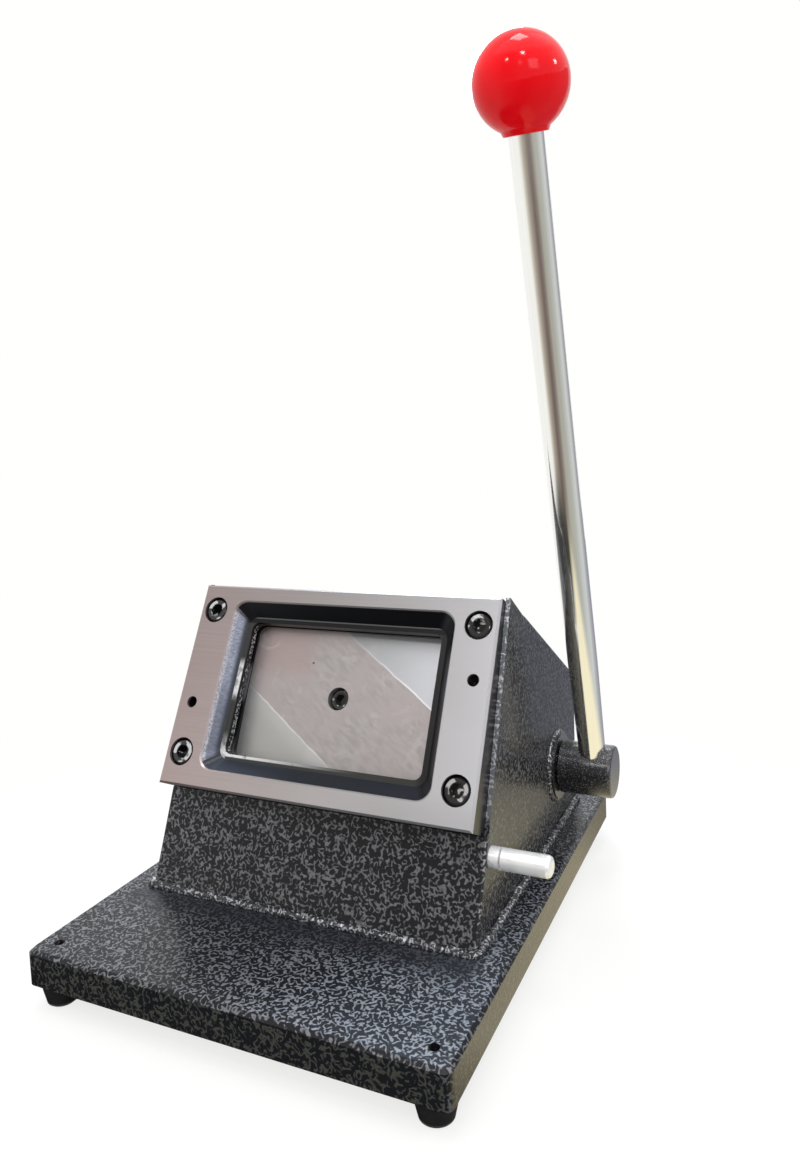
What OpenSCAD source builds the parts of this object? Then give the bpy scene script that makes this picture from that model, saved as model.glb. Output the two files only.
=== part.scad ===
// Manual card die cutter: a lever drives a punch forward through a tilted die
// plate, so a plastic card is cut out of a strip and falls out at the front.
// All sizes in millimetres. X runs to the lever's side, Y to the rear, Z up.
// Inside the source, z = 0 is the top of the base plate and y = 0 is the line
// where the housing's front meets it. placed() moves that to the frame's origin.

/* [Base plate and feet] */
// Width of the base plate
base_w = 160; // [150:1:200]
// Length of the base plate from front to rear
base_l = 204; // [195:1:260]
// Thickness of the base plate
base_t = 12.4; // [8:0.2:20]
// Bare base plate in front of the housing
base_front = 53; // [30:1:70]
// Radius of the base plate's upright corners
base_corner_r = 3; // [1:0.5:10]
// Softened top edge of the base plate
base_edge = 1.2; // [0.4:0.2:3]
// Diameter of a foot where it meets the base plate
foot_d_top = 14.5; // [12:0.5:24]
// Diameter of a foot on the table
foot_d_bottom = 10.6; // [9:0.2:20]
// Height of a foot
foot_h = 8.6; // [6:0.2:20]
// Distance from the base plate's edges to the centre of a front foot
foot_inset = 8; // [7.5:0.5:20]
// Distance from the base plate's edges to the centre of a rear foot
rear_foot_inset = 13; // [7.5:0.5:20]
// Diameter of a foot's screw
foot_screw_d = 3.5; // [2.5:0.1:4]

/* [Housing] */
// Width of the housing over its side walls
body_w = 136.5; // [130:0.5:150]
// Length of the housing along the base plate
body_l = 137.4; // [128:0.2:150]
// Length of the housing's front, measured up its slope
body_front_l = 122.2; // [118:0.2:130]
// Height of the housing at the rear
body_rear_h = 60.2; // [52:0.2:80]
// Lean of the housing's front from upright, in degrees
face_tilt = 23.2; // [20:0.1:26]
// Thickness of the side walls
wall_t = 1.8; // [1.2:0.1:3]
// Thickness of the front, roof and rear sheets
sheet_t = 1.8; // [1.2:0.1:3]
// Width of the weld bead round the housing's foot
weld_w = 3; // [1:0.5:5]
// Diameter of the rear cover's screws
cover_screw_d = 4; // [3:0.5:5]

/* [Die set] */
// Width of the card that is cut
card_w = 85.6; // [80:0.1:90]
// Height of the card that is cut
card_h = 54; // [48:0.1:56]
// Corner radius of the card
card_r = 3.2; // [1:0.1:6]
// Height of the die plate along its slope
die_h = 82.5; // [80:0.5:86]
// Thickness of the die plate
die_t = 10; // [8:0.5:12]
// Extra lean of the die plate over the housing's front, in degrees
die_lean = 5; // [3:0.5:6]
// Distance up the housing's front to the die plate's lower edge
die_up = 39; // [36:0.5:42]
// How far the die plate's lower edge stands in front of the housing
die_proud = 11.85; // [10:0.05:14]
// Height of the window's centre above the middle of the die plate
window_rise = 0.55; // [0:0.05:2]
// Width of the window's sloping border at its left and right
window_bevel_side = 4.8; // [2:0.1:5.4]
// Width of the window's sloping border above and below
window_bevel_high = 5.5; // [2:0.1:6]
// Depth of the window's sloping border
window_depth = 5.9; // [3:0.1:7]
// Corner radius of the window's sloping border
window_r = 6; // [5:0.1:10]
// Width of the flat ledge inside the window's border
window_ledge = 2.2; // [1:0.2:3]
// Chamfer round the die plate's front edge
die_edge = 0.8; // [0.2:0.1:2]
// Width of the slot that a strip of card slides down
slot_t = 2; // [1:0.2:4]
// Width of the strip that fits between the card guides
strip_w = 99; // [95:1:105]
// Thickness of the guide plate behind the slot
guide_t = 12; // [8:0.5:14]
// Diameter of the die screws
die_screw_d = 6; // [4:0.5:6]
// Distance between the left and right die screws
die_screw_x = 117.6; // [112:0.2:120]
// Height of the lower die screws above the die plate's lower edge
die_screw_low = 12.9; // [10:0.1:16]
// Distance between the lower and upper die screws
die_screw_rise = 58.8; // [54:0.1:62]
// Diameter of the dowel pins
dowel_d = 4.5; // [3:0.1:5]
// Depth of the dowel pins below the die plate's face
dowel_sink = 7; // [3:0.5:8]
// Distance between the two dowel pins, side to side
dowel_x = 119.2; // [112:0.2:122]
// Height of the left dowel pin above the die plate's lower edge
dowel_left_v = 32.6; // [30:0.1:40]
// Height of the right dowel pin above the die plate's lower edge
dowel_right_v = 51.3; // [44:0.1:54]
// Depth of the mounting blocks between guide plate and bridge plate
block_l = 17; // [15:0.5:20]
// Width of a mounting block
block_w = 12.9; // [11:0.1:14]
// Thickness of the bridge plate
bridge_t = 8; // [6:0.5:10]

/* [Punch and ram] */
// Distance from the die plate's face back to the punch at rest
punch_back = 12.6; // [12.2:0.1:13]
// Thickness of the punch
punch_t = 18; // [14:0.5:18]
// Gap between the punch and the die, all round
punch_gap = 0.05; // [0.02:0.01:0.1]
// How far the punch's two bevelled corners fall back
punch_bevel = 1.6; // [0.5:0.1:3]
// Travel of the punch
ram_travel = 9; // [7:0.1:9.4]
// Width of the ram's flange
flange_w = 80; // [60:1:84]
// Height of the ram's flange
flange_h = 50; // [40:1:54]
// Thickness of the ram's flange
flange_t = 8; // [6:0.5:10]
// Diameter of the ram's shaft
ram_d = 22; // [16:0.5:26]
// Wall of the ram's bush
ram_bush_t = 3; // [2:0.5:4]
// Diameter of the punch screw
punch_screw_d = 5; // [4:0.5:6]
// Gap between the ram's clevis and the bridge plate at full travel
clevis_gap = 0.5; // [0.3:0.1:1]
// Thickness of each clevis arm
clevis_arm = 8; // [5:0.5:10]
// Radius of the clevis arms round the roller's pin
clevis_r = 8; // [6:0.5:8.5]
// Diameter of the pin that holds the ram's shaft in the clevis
cross_pin_d = 4; // [2:0.5:4.5]

/* [Lever and drive] */
// Distance from the die plate's face back to the cross shaft
shaft_back = 95.2; // [94:0.1:98]
// Distance of the cross shaft below the ram's centre line
shaft_drop = 5.5; // [4:0.1:7]
// Diameter of the cross shaft
shaft_d = 14; // [12:0.5:15]
// Wall of the shaft's bushes
bush_t = 2; // [1.5:0.5:3]
// Wall of the bosses that carry the bushes
boss_t = 3; // [2:0.5:4]
// Length of a boss inside its side wall
boss_in = 12; // [8:0.5:14]
// Width of the welded ring outside the wall
boss_ring = 2.2; // [1.5:0.1:3]
// Diameter of the welded ring
boss_ring_d = 28; // [26:0.5:32]
// Diameter of the lever's hub
hub_d = 22; // [19:0.5:26]
// Length of the lever's hub
hub_l = 22.8; // [21:0.1:28]
// Lean of the lever at rest, in degrees
lever_lean = 17.5; // [15:0.1:25]
// Swing of the lever, in degrees
lever_range = 66.4; // [60:0.1:68]
// Distance from the lever's pivot to the middle of the ball
lever_l = 270.5; // [240:0.5:300]
// Diameter of the lever's rod
rod_d = 12; // [10:0.1:13]
// Diameter of the rod's lower end
rod_end_d = 11.2; // [9:0.1:12]
// Distance of the rod outside the side wall
rod_out = 16.3; // [15.5:0.1:18]
// Diameter of the ball
ball_d = 32; // [28:0.5:40]
// Diameter of the ball's collar
ball_collar_d = 15.4; // [13:0.2:18]
// Distance from the ball's middle to the foot of its collar
ball_foot = 15.3; // [14.5:0.1:18]
// Diameter of the threaded insert in the ball
insert_d = 10; // [9:0.5:12]
// Diameter of the cam's roller
roller_d = 12; // [10:0.5:12.5]
// Diameter of the roller's pin
roller_pin_d = 7; // [5:0.5:7]
// Distance from the shaft to the roller at rest
cam_start = 17; // [16.5:0.1:18]
// Thickness of the cam plate
cam_t = 10; // [6:0.5:12]
// Steel left outside the cam's slot
cam_rim = 3; // [2.5:0.1:3.2]
// Play of the roller in the cam's slot
cam_play = 0.15; // [0.1:0.05:0.2]
// Diameter of the shaft collar and of the crank's ring
collar_d = 26; // [24:0.5:28]
// Width of the shaft collar and of the crank
collar_l = 10; // [8:0.5:12]
// Diameter of the set screws
set_screw_d = 4; // [3:0.5:5]

/* [Return spring and stops] */
// Radius at which the spring pulls on the crank
crank_r = 17; // [15:0.5:18]
// Diameter of the crank's pin and of the tie bar
hook_bar_d = 6; // [5:0.5:6]
// Distance from the crank's pin up to the tie bar at rest
spring_span = 39; // [36:0.5:40]
// Wire of the return spring
spring_wire = 1.2; // [0.8:0.1:1.4]
// Number of coils of the return spring
spring_coils = 13; // [9:1:14]
// Distance from the crank to the spring's middle
spring_aside = 6.8; // [6:0.1:9]
// Diameter of the lever's stop pin
stop_d = 7.7; // [6:0.1:8]
// Length of the stop pin outside the side wall
stop_l = 22; // [20:0.5:26]
// Distance of the stop pin behind the housing's front
stop_depth = 5.7; // [5.6:0.1:8]
// Height of the stop pin up the housing's front
stop_up = 31.4; // [28:0.1:31.6]

/* [Hidden] */
$fn = 32;
tiny = 0.01;
// Clearances, each used wherever that kind of fit occurs
run_gap = 0.05;
hole_gap = 0.3;
seat_gap = 0.05;
end_gap = 0.2;

// Directions: lean of the die set, and slope of the roof
die_tilt = face_tilt + die_lean;
face_top_y = body_front_l * sin(face_tilt);
face_top_z = body_front_l * cos(face_tilt);
roof_slope = atan2(face_top_z - body_rear_h, body_l - face_top_y);

// Half widths outside and inside the walls
wall_out = body_w / 2;
wall_in = wall_out - wall_t;
inner_half = wall_in - seat_gap;

// Lower front edge of the die plate
die_y = die_up * sin(face_tilt) - die_proud * cos(face_tilt);
die_z = die_up * cos(face_tilt) + die_proud * sin(face_tilt);
window_v = die_h / 2 + window_rise;

// Depths behind the die plate's face
guide_front = die_t + slot_t;
guide_back = guide_front + guide_t;
bridge_front = guide_back + block_l;
bridge_back = bridge_front + bridge_t;
flange_front = punch_back + punch_t;
flange_back = flange_front + flange_t;
clevis_front = bridge_back + ram_travel + clevis_gap;
roller_depth = shaft_back - cam_start;

// Heights up the die set
slot_end_v = 1;
guide_top_v = die_h - 0.5;
block_low_v = 3;
block_top_v = die_h - 4.5;
bridge_low_v = 10;
bridge_top_v = die_h - 7.5;
bridge_screw_v = [24, 60];
shaft_v = window_v - shaft_drop;

// Cross shaft in the housing's own directions
shaft_y = die_y + shaft_back * cos(die_tilt) + shaft_v * sin(die_tilt);
shaft_z = die_z - shaft_back * sin(die_tilt) + shaft_v * cos(die_tilt);
bush_d = shaft_d + 2 * bush_t;
boss_d = bush_d + 2 * boss_t;
boss_end = wall_in - boss_in;
bush_flange = 1.5;
bush_end = boss_end - bush_flange;
ring_face = wall_out + boss_ring;
hub_start = ring_face + 0.3;
hub_end = hub_start + hub_l;
rod_x = wall_out + rod_out;
hub_bore_end = rod_x - rod_end_d / 2 - 0.6;
crank_end = bush_end - end_gap;
crank_start = crank_end - collar_l;
crank_rest = 180 - lever_range / 2;

// Screws: head sizes follow the thread
head_ratio = 10 / 6;
head_d = die_screw_d * head_ratio;
head_h = die_screw_d;
head_sink = 0.6;
counterbore_d = head_d + 1;
punch_head_d = punch_screw_d * 1.7;
punch_head_h = punch_screw_d;
punch_head_sink = 2;

// Joints of the ram: dowels in the punch, spigot in the clevis
punch_dowel_in = 8;
spigot_d = ram_d - 8;
spigot_l = 6;

// Feet
foot_x = base_w / 2 - foot_inset;
foot_y = foot_inset - base_front;
rear_foot_x = base_w / 2 - rear_foot_inset;
rear_foot_y = base_l - base_front - rear_foot_inset;
foot_seat = 4;
foot_head_d = foot_screw_d + 2.5;
foot_head_h = 2.4;
foot_round = 0.8;

// Rear cover and the lugs that it is screwed to
cover_top = body_rear_h - sheet_t / cos(roof_slope) - 0.1;
lug_w = 10;
lug_l = 8;
lug_h = 10;
lug_low = 8;
lug_high = cover_top - 6 - lug_h;

// Return spring and the pins that it hooks on
hook_r = hook_bar_d / 2 + spring_wire / 2 + 0.3;
crank_pin_y = shaft_y + crank_r * cos(crank_rest);
crank_pin_z = shaft_z + crank_r * sin(crank_rest);
tie_z = crank_pin_z + spring_span;
spring_x = crank_start - spring_aside;
coil_low = crank_pin_z + hook_r + 3;
coil_high = tie_z - hook_r - 3;
coil_pitch = (coil_high - coil_low) / spring_coils;
crank_pin_head = 1.6;

// Stop pin
stop_y = stop_up * sin(face_tilt) + stop_depth * cos(face_tilt);
stop_z = stop_up * cos(face_tilt) - stop_depth * sin(face_tilt);
stop_stub_d = stop_d - 1.7;
stop_in = 10;
stop_groove_x = wall_out + 4;

// Ball and the rod's top
ball_bottom = lever_l - ball_foot;
rod_thread_d = insert_d - 3;
insert_l = 14;

// Lower end of the rod in its hub
hub_round = 1.2;
rod_foot = -hub_d * 0.2;
rod_taper_low = hub_d / 2 + 2;
rod_taper_high = hub_d / 2 + 42;

// The object's middle, which the frame's origin stands under
ball_right = rod_x + ball_d / 2;
base_left = -base_w / 2;
object_right = max(ball_right, hub_end, wall_out + stop_l, base_w / 2);
mid_x = (base_left + object_right) / 2;
mid_y = (base_l - 2 * base_front) / 2;

// Depth and height of a point of the housing in the die set's directions
function die_depth(y, z) = (y - die_y) * cos(die_tilt) - (z - die_z) * sin(die_tilt);
function die_height(y, z) = (y - die_y) * sin(die_tilt) + (z - die_z) * cos(die_tilt);

// Point of a line that lies off behind the housing's front, at height v in the die set
function face_at_height(off, v) =
    let(up = (v + die_y * sin(die_tilt) + die_z * cos(die_tilt) - off * sin(die_lean)) / cos(die_lean))
    [up * sin(face_tilt) + off * cos(face_tilt), up * cos(face_tilt) - off * sin(face_tilt)];

// Point of a line that lies under the roof by off, at depth d in the die set
function roof_at_depth(off, d) =
    let(y0 = face_top_y - off * sin(roof_slope),
        z0 = face_top_z - off * cos(roof_slope),
        run = (d - die_depth(y0, z0)) / cos(roof_slope - die_tilt))
    [y0 + run * cos(roof_slope), z0 - run * sin(roof_slope)];

// Curve of the cam: the roller's path seen from the turning cam, moved out by off.
// The radius grows evenly with the angle, so the punch moves evenly with the lever.
function cam_radius(a) = cam_start + ram_travel * a / lever_range;
function cam_rise() = ram_travel / (lever_range * PI / 180);
function cam_point(a, off) =
    let(r = cam_radius(a),
        out = [-cos(a), sin(a)],
        along = [sin(a), cos(a)],
        normal = (r * out - cam_rise() * along) / norm([r, cam_rise()]))
    r * out + off * normal;
cam_lead_angle = 1;
cam_tail_angle = 2.5;
cam_steps = 30;
cam_turn = (lever_range + cam_lead_angle + cam_tail_angle) / cam_steps;
cam_angles = [for (i = [0:cam_steps]) i * cam_turn - cam_lead_angle];
cam_slot_r = roller_d / 2 + cam_play;
cam_reach = cam_slot_r + cam_rim;
cam_web = 2;
key_w = shaft_d * 0.28;

// Clevis; the cam bulges a little towards it, because its radius grows with the angle
arm_start = cam_t / 2 + 0.3;
clevis_half = arm_start + clevis_arm;
cam_bulge = pow(cam_rise(), 2) / (2 * (cam_start + cam_reach)) + 0.6;
yoke_back = roller_depth - cam_reach - cam_bulge;

// Spring's centre line: each entry is a point and the direction away from its axis
hook_steps = 12;
curl_rings = 8;
hook_y = crank_pin_y;
function hook_entry(z, a) =
    [[spring_x, hook_y + hook_r * cos(a), z + hook_r * sin(a)], [0, cos(a), sin(a)]];
function coil_lead(a) = min(a, 60) / 60;
function coil_entry(a) =
    let(total = 360 * spring_coils,
        drop = 2.2 * pow(1 - coil_lead(a), 2),
        lift = 2.2 * pow(1 - coil_lead(total - a), 2),
        out = [-sin(a), -cos(a), 0])
    [[spring_x, hook_y, coil_low + coil_pitch * a / 360 - drop + lift] + hook_r * out, out];
spring_route = concat(
    [for (i = [0:hook_steps]) hook_entry(crank_pin_z, 40 - 220 * i / hook_steps)],
    [for (i = [0:curl_rings * spring_coils]) coil_entry(360 * i / curl_rings)],
    [for (i = [0:hook_steps]) hook_entry(tie_z, 180 - 220 * i / hook_steps)]
);

// Least gap of the spring's wire to itself, measured between points over half a turn apart
coil_points = [for (i = [0:curl_rings * spring_coils]) coil_entry(360 * i / curl_rings)[0]];
spring_gap = min([for (i = [0:len(coil_points) - 1])
    for (j = [i + curl_rings / 2 + 1:1:len(coil_points) - 1])
        norm(coil_points[i] - coil_points[j])]) - spring_wire;
echo(least_gap_of_the_return_spring = spring_gap);

// Places and directions

module placed() {
    translate([-mid_x, -mid_y, foot_h + base_t]) children();
}

module in_face() {
    rotate([-face_tilt, 0, 0]) children();
}

module in_die() {
    translate([0, die_y, die_z]) rotate([-die_tilt, 0, 0]) children();
}

module at_shaft() {
    translate([0, shaft_y, shaft_z]) children();
}

module in_lever() {
    at_shaft() rotate([lever_lean, 0, 0]) children();
}

// Shapes used by several sub-parts

// Round bar along X from x0 to x1
module bar_x(d, x0, x1, sides = 32) {
    translate([x0, 0, 0]) rotate([0, 90, 0]) cylinder(d = d, h = x1 - x0, $fn = sides);
}

// Round bar along Y from y0 to y1
module bar_y(d, y0, y1, sides = 32) {
    translate([0, y0, 0]) rotate([-90, 0, 0]) cylinder(d = d, h = y1 - y0, $fn = sides);
}

// Profile in Y and Z, drawn as 2-D x and y, made solid from x0 to x1
module profile_x(x0, x1) {
    translate([x0, 0, 0]) rotate([90, 0, 90]) linear_extrude(height = x1 - x0) children();
}

// Plate across X with its outline drawn in X and height, solid from depth y0 to y1
module plate_y(y0, y1) {
    translate([0, y1, 0]) rotate([90, 0, 0]) linear_extrude(height = y1 - y0) children();
}

module rounded_rectangle(w, h, r) {
    offset(r = r, $fn = 32) square([w - 2 * r, h - 2 * r], center = true);
}

// Socket head screw along +Y: the head's top at y = 0, the thread further in
module socket_screw(d, head_w, head_l, thread_l) {
    rim = head_l * 0.12;
    difference() {
        rotate([-90, 0, 0]) rotate_extrude($fn = 32) polygon([
            [0, 0], [head_w / 2 - rim, 0], [head_w / 2, rim], [head_w / 2, head_l],
            [d / 2, head_l], [d / 2, head_l + thread_l - d / 6],
            [d / 3, head_l + thread_l], [0, head_l + thread_l]
        ]);
        translate([0, -1, 0]) rotate([-90, 0, 0]) cylinder(d = d * 0.95, h = 1 + head_l * 0.5, $fn = 6);
    }
}

// The four die screws' places on the die set
module at_die_screws() {
    for (side = [-1, 1], row = [0, 1])
        translate([side * die_screw_x / 2, 0, die_screw_low + row * die_screw_rise]) children();
}

// The two dowels' places on the die set
module at_dowels() {
    translate([-dowel_x / 2, 0, dowel_left_v]) children();
    translate([dowel_x / 2, 0, dowel_right_v]) children();
}

// The four bridge screws' places on the die set
module at_bridge_screws() {
    for (side = [-1, 1], v = bridge_screw_v)
        translate([side * (inner_half - block_w / 2), 0, v]) children();
}

module die_holes() {
    at_die_screws() bar_y(die_screw_d + 2 * hole_gap, -1, guide_back + 1);
    at_dowels() bar_y(dowel_d + 2 * run_gap, -1, guide_back + 1);
}

// Base plate and feet

module at_feet() {
    for (side = [-1, 1]) {
        translate([side * foot_x, foot_y, 0]) children();
        translate([side * rear_foot_x, rear_foot_y, 0]) children();
    }
}

module base_plate() {
    color("dimgray") placed() difference() {
        hull() {
            translate([0, mid_y, -base_t]) linear_extrude(height = base_t - base_edge)
                rounded_rectangle(base_w, base_l, base_corner_r);
            translate([0, mid_y, -base_edge]) linear_extrude(height = base_edge)
                rounded_rectangle(base_w - 2 * base_edge, base_l - 2 * base_edge, base_corner_r);
        }
        at_feet() translate([0, 0, -base_t - 1])
            cylinder(d = foot_screw_d + 2 * run_gap, h = base_t + 2, $fn = 24);
    }
}

module foot(x, y) {
    half_slope = (foot_d_top - foot_d_bottom) / 2;
    color("black") placed() translate([x, y, -base_t]) rotate_extrude($fn = 32) polygon([
        [foot_screw_d / 2 + run_gap, 0],
        [foot_d_top / 2, 0],
        [foot_d_bottom / 2 + half_slope * foot_round / foot_h, foot_round - foot_h],
        [foot_d_bottom / 2 - foot_round, -foot_h],
        [foot_head_d / 2 + 0.2, -foot_h],
        [foot_head_d / 2 + 0.2, -foot_seat],
        [foot_screw_d / 2 + run_gap, -foot_seat]
    ]);
}

module foot_front_left() {
    foot(-foot_x, foot_y);
}

module foot_front_right() {
    foot(foot_x, foot_y);
}

module foot_rear_left() {
    foot(-rear_foot_x, rear_foot_y);
}

module foot_rear_right() {
    foot(rear_foot_x, rear_foot_y);
}

module foot_screws() {
    color("silver") placed() at_feet() translate([0, 0, -base_t - foot_seat]) {
        translate([0, 0, -tiny]) cylinder(d = foot_screw_d, h = foot_seat + base_t * 0.65, $fn = 24);
        translate([0, 0, -foot_head_h]) cylinder(d = foot_head_d, h = foot_head_h, $fn = 24);
    }
}

// Housing

module wall_outline() {
    polygon([[0, 0], [face_top_y, face_top_z], [body_l, body_rear_h], [body_l, 0]]);
}

module side_wall_left() {
    color("dimgray") placed() difference() {
        profile_x(-wall_out, -wall_in) wall_outline();
        at_shaft() bar_x(boss_d + 2 * seat_gap, -wall_out - 1, -wall_in + 1, 48);
    }
}

module side_wall_right() {
    color("dimgray") placed() difference() {
        profile_x(wall_in, wall_out) wall_outline();
        at_shaft() bar_x(boss_d + 2 * seat_gap, wall_in - 1, wall_out + 1, 48);
        translate([0, stop_y, stop_z])
            bar_x(stop_stub_d + 2 * seat_gap, wall_in - 1, wall_out + 1);
    }
}

module front_panel() {
    color("dimgray") placed() profile_x(-inner_half, inner_half) polygon([
        [0, 0],
        face_at_height(0, -end_gap),
        face_at_height(sheet_t, -end_gap),
        [sheet_t / cos(face_tilt), 0]
    ]);
}

module roof_panel() {
    rear_drop = sheet_t / cos(roof_slope);
    color("dimgray") placed() profile_x(-inner_half, inner_half) polygon([
        roof_at_depth(0, guide_back + end_gap),
        [body_l, body_rear_h],
        [body_l, body_rear_h - rear_drop],
        roof_at_depth(sheet_t, guide_back + end_gap)
    ]);
}

module at_lugs() {
    for (side = [-1, 1], z = [lug_low, lug_high])
        translate([side * (inner_half - lug_w / 2), body_l - sheet_t, z + lug_h / 2]) children();
}

module rear_cover() {
    color("dimgray") placed() difference() {
        translate([-inner_half, body_l - sheet_t, 0]) cube([2 * inner_half, sheet_t, cover_top]);
        at_lugs() bar_y(cover_screw_d + 2 * hole_gap, -1, sheet_t + 1);
    }
}

module cover_lugs() {
    color("gray") placed() at_lugs() difference() {
        translate([-lug_w / 2, -lug_l, -lug_h / 2]) cube([lug_w, lug_l, lug_h]);
        bar_y(cover_screw_d + 2 * run_gap, -lug_l - 1, 1);
    }
}

module cover_screws() {
    head = cover_screw_d * 1.8;
    color("silver") placed() at_lugs() translate([0, sheet_t, 0]) difference() {
        rotate([-90, 0, 0]) rotate_extrude($fn = 32) polygon([
            [0, -sheet_t - lug_l + 1], [cover_screw_d / 2, -sheet_t - lug_l + 1],
            [cover_screw_d / 2, 0], [head / 2, 0], [head / 2, cover_screw_d * 0.3],
            [head / 3, cover_screw_d * 0.55], [0, cover_screw_d * 0.55]
        ]);
        translate([0, cover_screw_d * 0.2, 0]) rotate([-90, 0, 0])
            cylinder(d = cover_screw_d * 0.7, h = cover_screw_d, $fn = 6);
    }
}

module weld_bead() {
    land = 0.4;
    color("gray") placed() difference() {
        hull() {
            translate([-wall_out - weld_w, -weld_w, 0])
                cube([body_w + 2 * weld_w, body_l + weld_w, tiny]);
            translate([-wall_out - land, weld_w * tan(face_tilt) - land, weld_w - tiny])
                cube([body_w + 2 * land, body_l - weld_w * tan(face_tilt) + land, tiny]);
        }
        profile_x(-wall_out, wall_out) polygon([
            [-2 * tan(face_tilt), -2], [2 * weld_w * tan(face_tilt), 2 * weld_w],
            [body_l + 1, 2 * weld_w], [body_l + 1, -2]
        ]);
    }
}

// Die set

module window_outline(grow_w, grow_h, r) {
    translate([0, window_v]) rounded_rectangle(card_w + 2 * grow_w, card_h + 2 * grow_h, r);
}

module card_outline() {
    window_outline(0, 0, card_r);
}

module die_plate() {
    color("lightgray") placed() in_die() difference() {
        hull() {
            plate_y(die_edge, die_t) translate([-inner_half, 0]) square([2 * inner_half, die_h]);
            plate_y(0, die_edge) translate([die_edge - inner_half, die_edge])
                square([2 * (inner_half - die_edge), die_h - 2 * die_edge]);
        }
        plate_y(-1, die_t + 1) card_outline();
        hull() {
            plate_y(-tiny, 0) window_outline(
                window_ledge + window_bevel_side, window_ledge + window_bevel_high, window_r);
            plate_y(window_depth - tiny, window_depth) window_outline(
                window_ledge, window_ledge, (card_r + window_r) / 2);
        }
        at_die_screws() bar_y(counterbore_d, -1, head_h + head_sink);
        die_holes();
    }
}

module die_screws() {
    color("dimgray") placed() in_die() at_die_screws() translate([0, head_sink, 0])
        socket_screw(die_screw_d, head_d, head_h, guide_back + block_l * 0.6 - head_h - head_sink);
}

module dowel_pins() {
    color("silver") placed() in_die() at_dowels()
        bar_y(dowel_d, dowel_sink, guide_back + block_l * 0.5, 24);
}

module card_guide(side) {
    inner = strip_w / 2;
    color("silver") placed() in_die() difference() {
        plate_y(die_t, guide_front)
            translate([side > 0 ? inner : -inner_half, slot_end_v])
                square([inner_half - inner, guide_top_v - slot_end_v]);
        die_holes();
    }
}

module card_guide_left() {
    card_guide(-1);
}

module card_guide_right() {
    card_guide(1);
}

module guide_plate() {
    color("gray") placed() in_die() difference() {
        plate_y(guide_front, guide_back)
            translate([-inner_half, 0]) square([2 * inner_half, guide_top_v]);
        plate_y(guide_front - 1, guide_back + 1) card_outline();
        die_holes();
    }
}

module mounting_block(side) {
    color("gray") placed() in_die() difference() {
        translate([side > 0 ? inner_half - block_w : -inner_half, guide_back, block_low_v])
            cube([block_w, block_l, block_top_v - block_low_v]);
        at_die_screws() bar_y(die_screw_d + 2 * run_gap, guide_back - 1, guide_back + block_l * 0.75);
        at_dowels() bar_y(dowel_d + 2 * run_gap, guide_back - 1, guide_back + block_l * 0.75);
        at_bridge_screws() bar_y(die_screw_d + 2 * run_gap, guide_back + block_l * 0.25, bridge_front + 1);
    }
}

module mounting_block_left() {
    mounting_block(-1);
}

module mounting_block_right() {
    mounting_block(1);
}

module bridge_plate() {
    color("gray") placed() in_die() difference() {
        plate_y(bridge_front, bridge_back) translate([-inner_half, bridge_low_v])
            square([2 * inner_half, bridge_top_v - bridge_low_v]);
        translate([0, 0, window_v])
            bar_y(ram_d + 2 * (ram_bush_t + seat_gap), bridge_front - 1, bridge_back + 1, 48);
        at_bridge_screws() bar_y(die_screw_d + 2 * hole_gap, bridge_front - 1, bridge_back + 1);
    }
}

module bridge_screws() {
    color("dimgray") placed() in_die() at_bridge_screws() translate([0, bridge_back + head_h, 0])
        mirror([0, 1, 0]) socket_screw(die_screw_d, head_d, head_h, bridge_t + block_l * 0.6);
}

module ram_bush() {
    flange = 1;
    color("goldenrod") placed() in_die() translate([0, 0, window_v]) difference() {
        union() {
            bar_y(ram_d + 2 * ram_bush_t, bridge_front - flange, bridge_back, 48);
            bar_y(ram_d + 2 * ram_bush_t + 4, bridge_front - flange, bridge_front, 48);
        }
        bar_y(ram_d + 2 * run_gap, bridge_front - 2, bridge_back + 1, 48);
    }
}

// Punch and ram

// Steel cut away beyond the line from the middle of the upper edge to the middle
// of the right edge, sinking evenly towards the corner
module punch_corner_cut() {
    half_w = card_w / 2;
    half_h = card_h / 2;
    start_u = -2;
    end_v = -2.5;
    slant = atan2(half_h - end_v, half_w - start_u);
    reach = (half_w - start_u) * sin(slant);
    translate([start_u, 0, half_h]) rotate([0, slant, 0])
        rotate([-atan2(punch_bevel, reach), 0, 0])
            translate([-card_w, -20, 0]) cube([3 * card_w, 20, 2 * card_h]);
}

module punch() {
    color("lightgray") placed() in_die() difference() {
        plate_y(punch_back, flange_front) translate([0, window_v])
            rounded_rectangle(card_w - 2 * punch_gap, card_h - 2 * punch_gap, card_r - punch_gap);
        translate([0, punch_back, window_v]) {
            punch_corner_cut();
            rotate([0, 180, 0]) punch_corner_cut();
            bar_y(punch_head_d + 0.6, -1, punch_head_sink + punch_head_h);
            bar_y(punch_screw_d + 2 * hole_gap, 0, punch_t + 1);
        }
        at_punch_dowels() bar_y(dowel_d + 2 * run_gap, -punch_dowel_in - 0.5, 1, 24);
    }
}

module at_punch_dowels() {
    for (side = [-1, 1])
        translate([side * (flange_w / 2 - 10), flange_front, window_v]) children();
}

module punch_screw() {
    color("dimgray") placed() in_die() translate([0, punch_back + punch_head_sink, window_v])
        socket_screw(punch_screw_d, punch_head_d, punch_head_h,
            punch_t - punch_head_sink - punch_head_h + flange_t + 4);
}

module punch_dowels() {
    color("silver") placed() in_die() at_punch_dowels() bar_y(dowel_d, -punch_dowel_in, flange_t - 1, 24);
}

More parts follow.
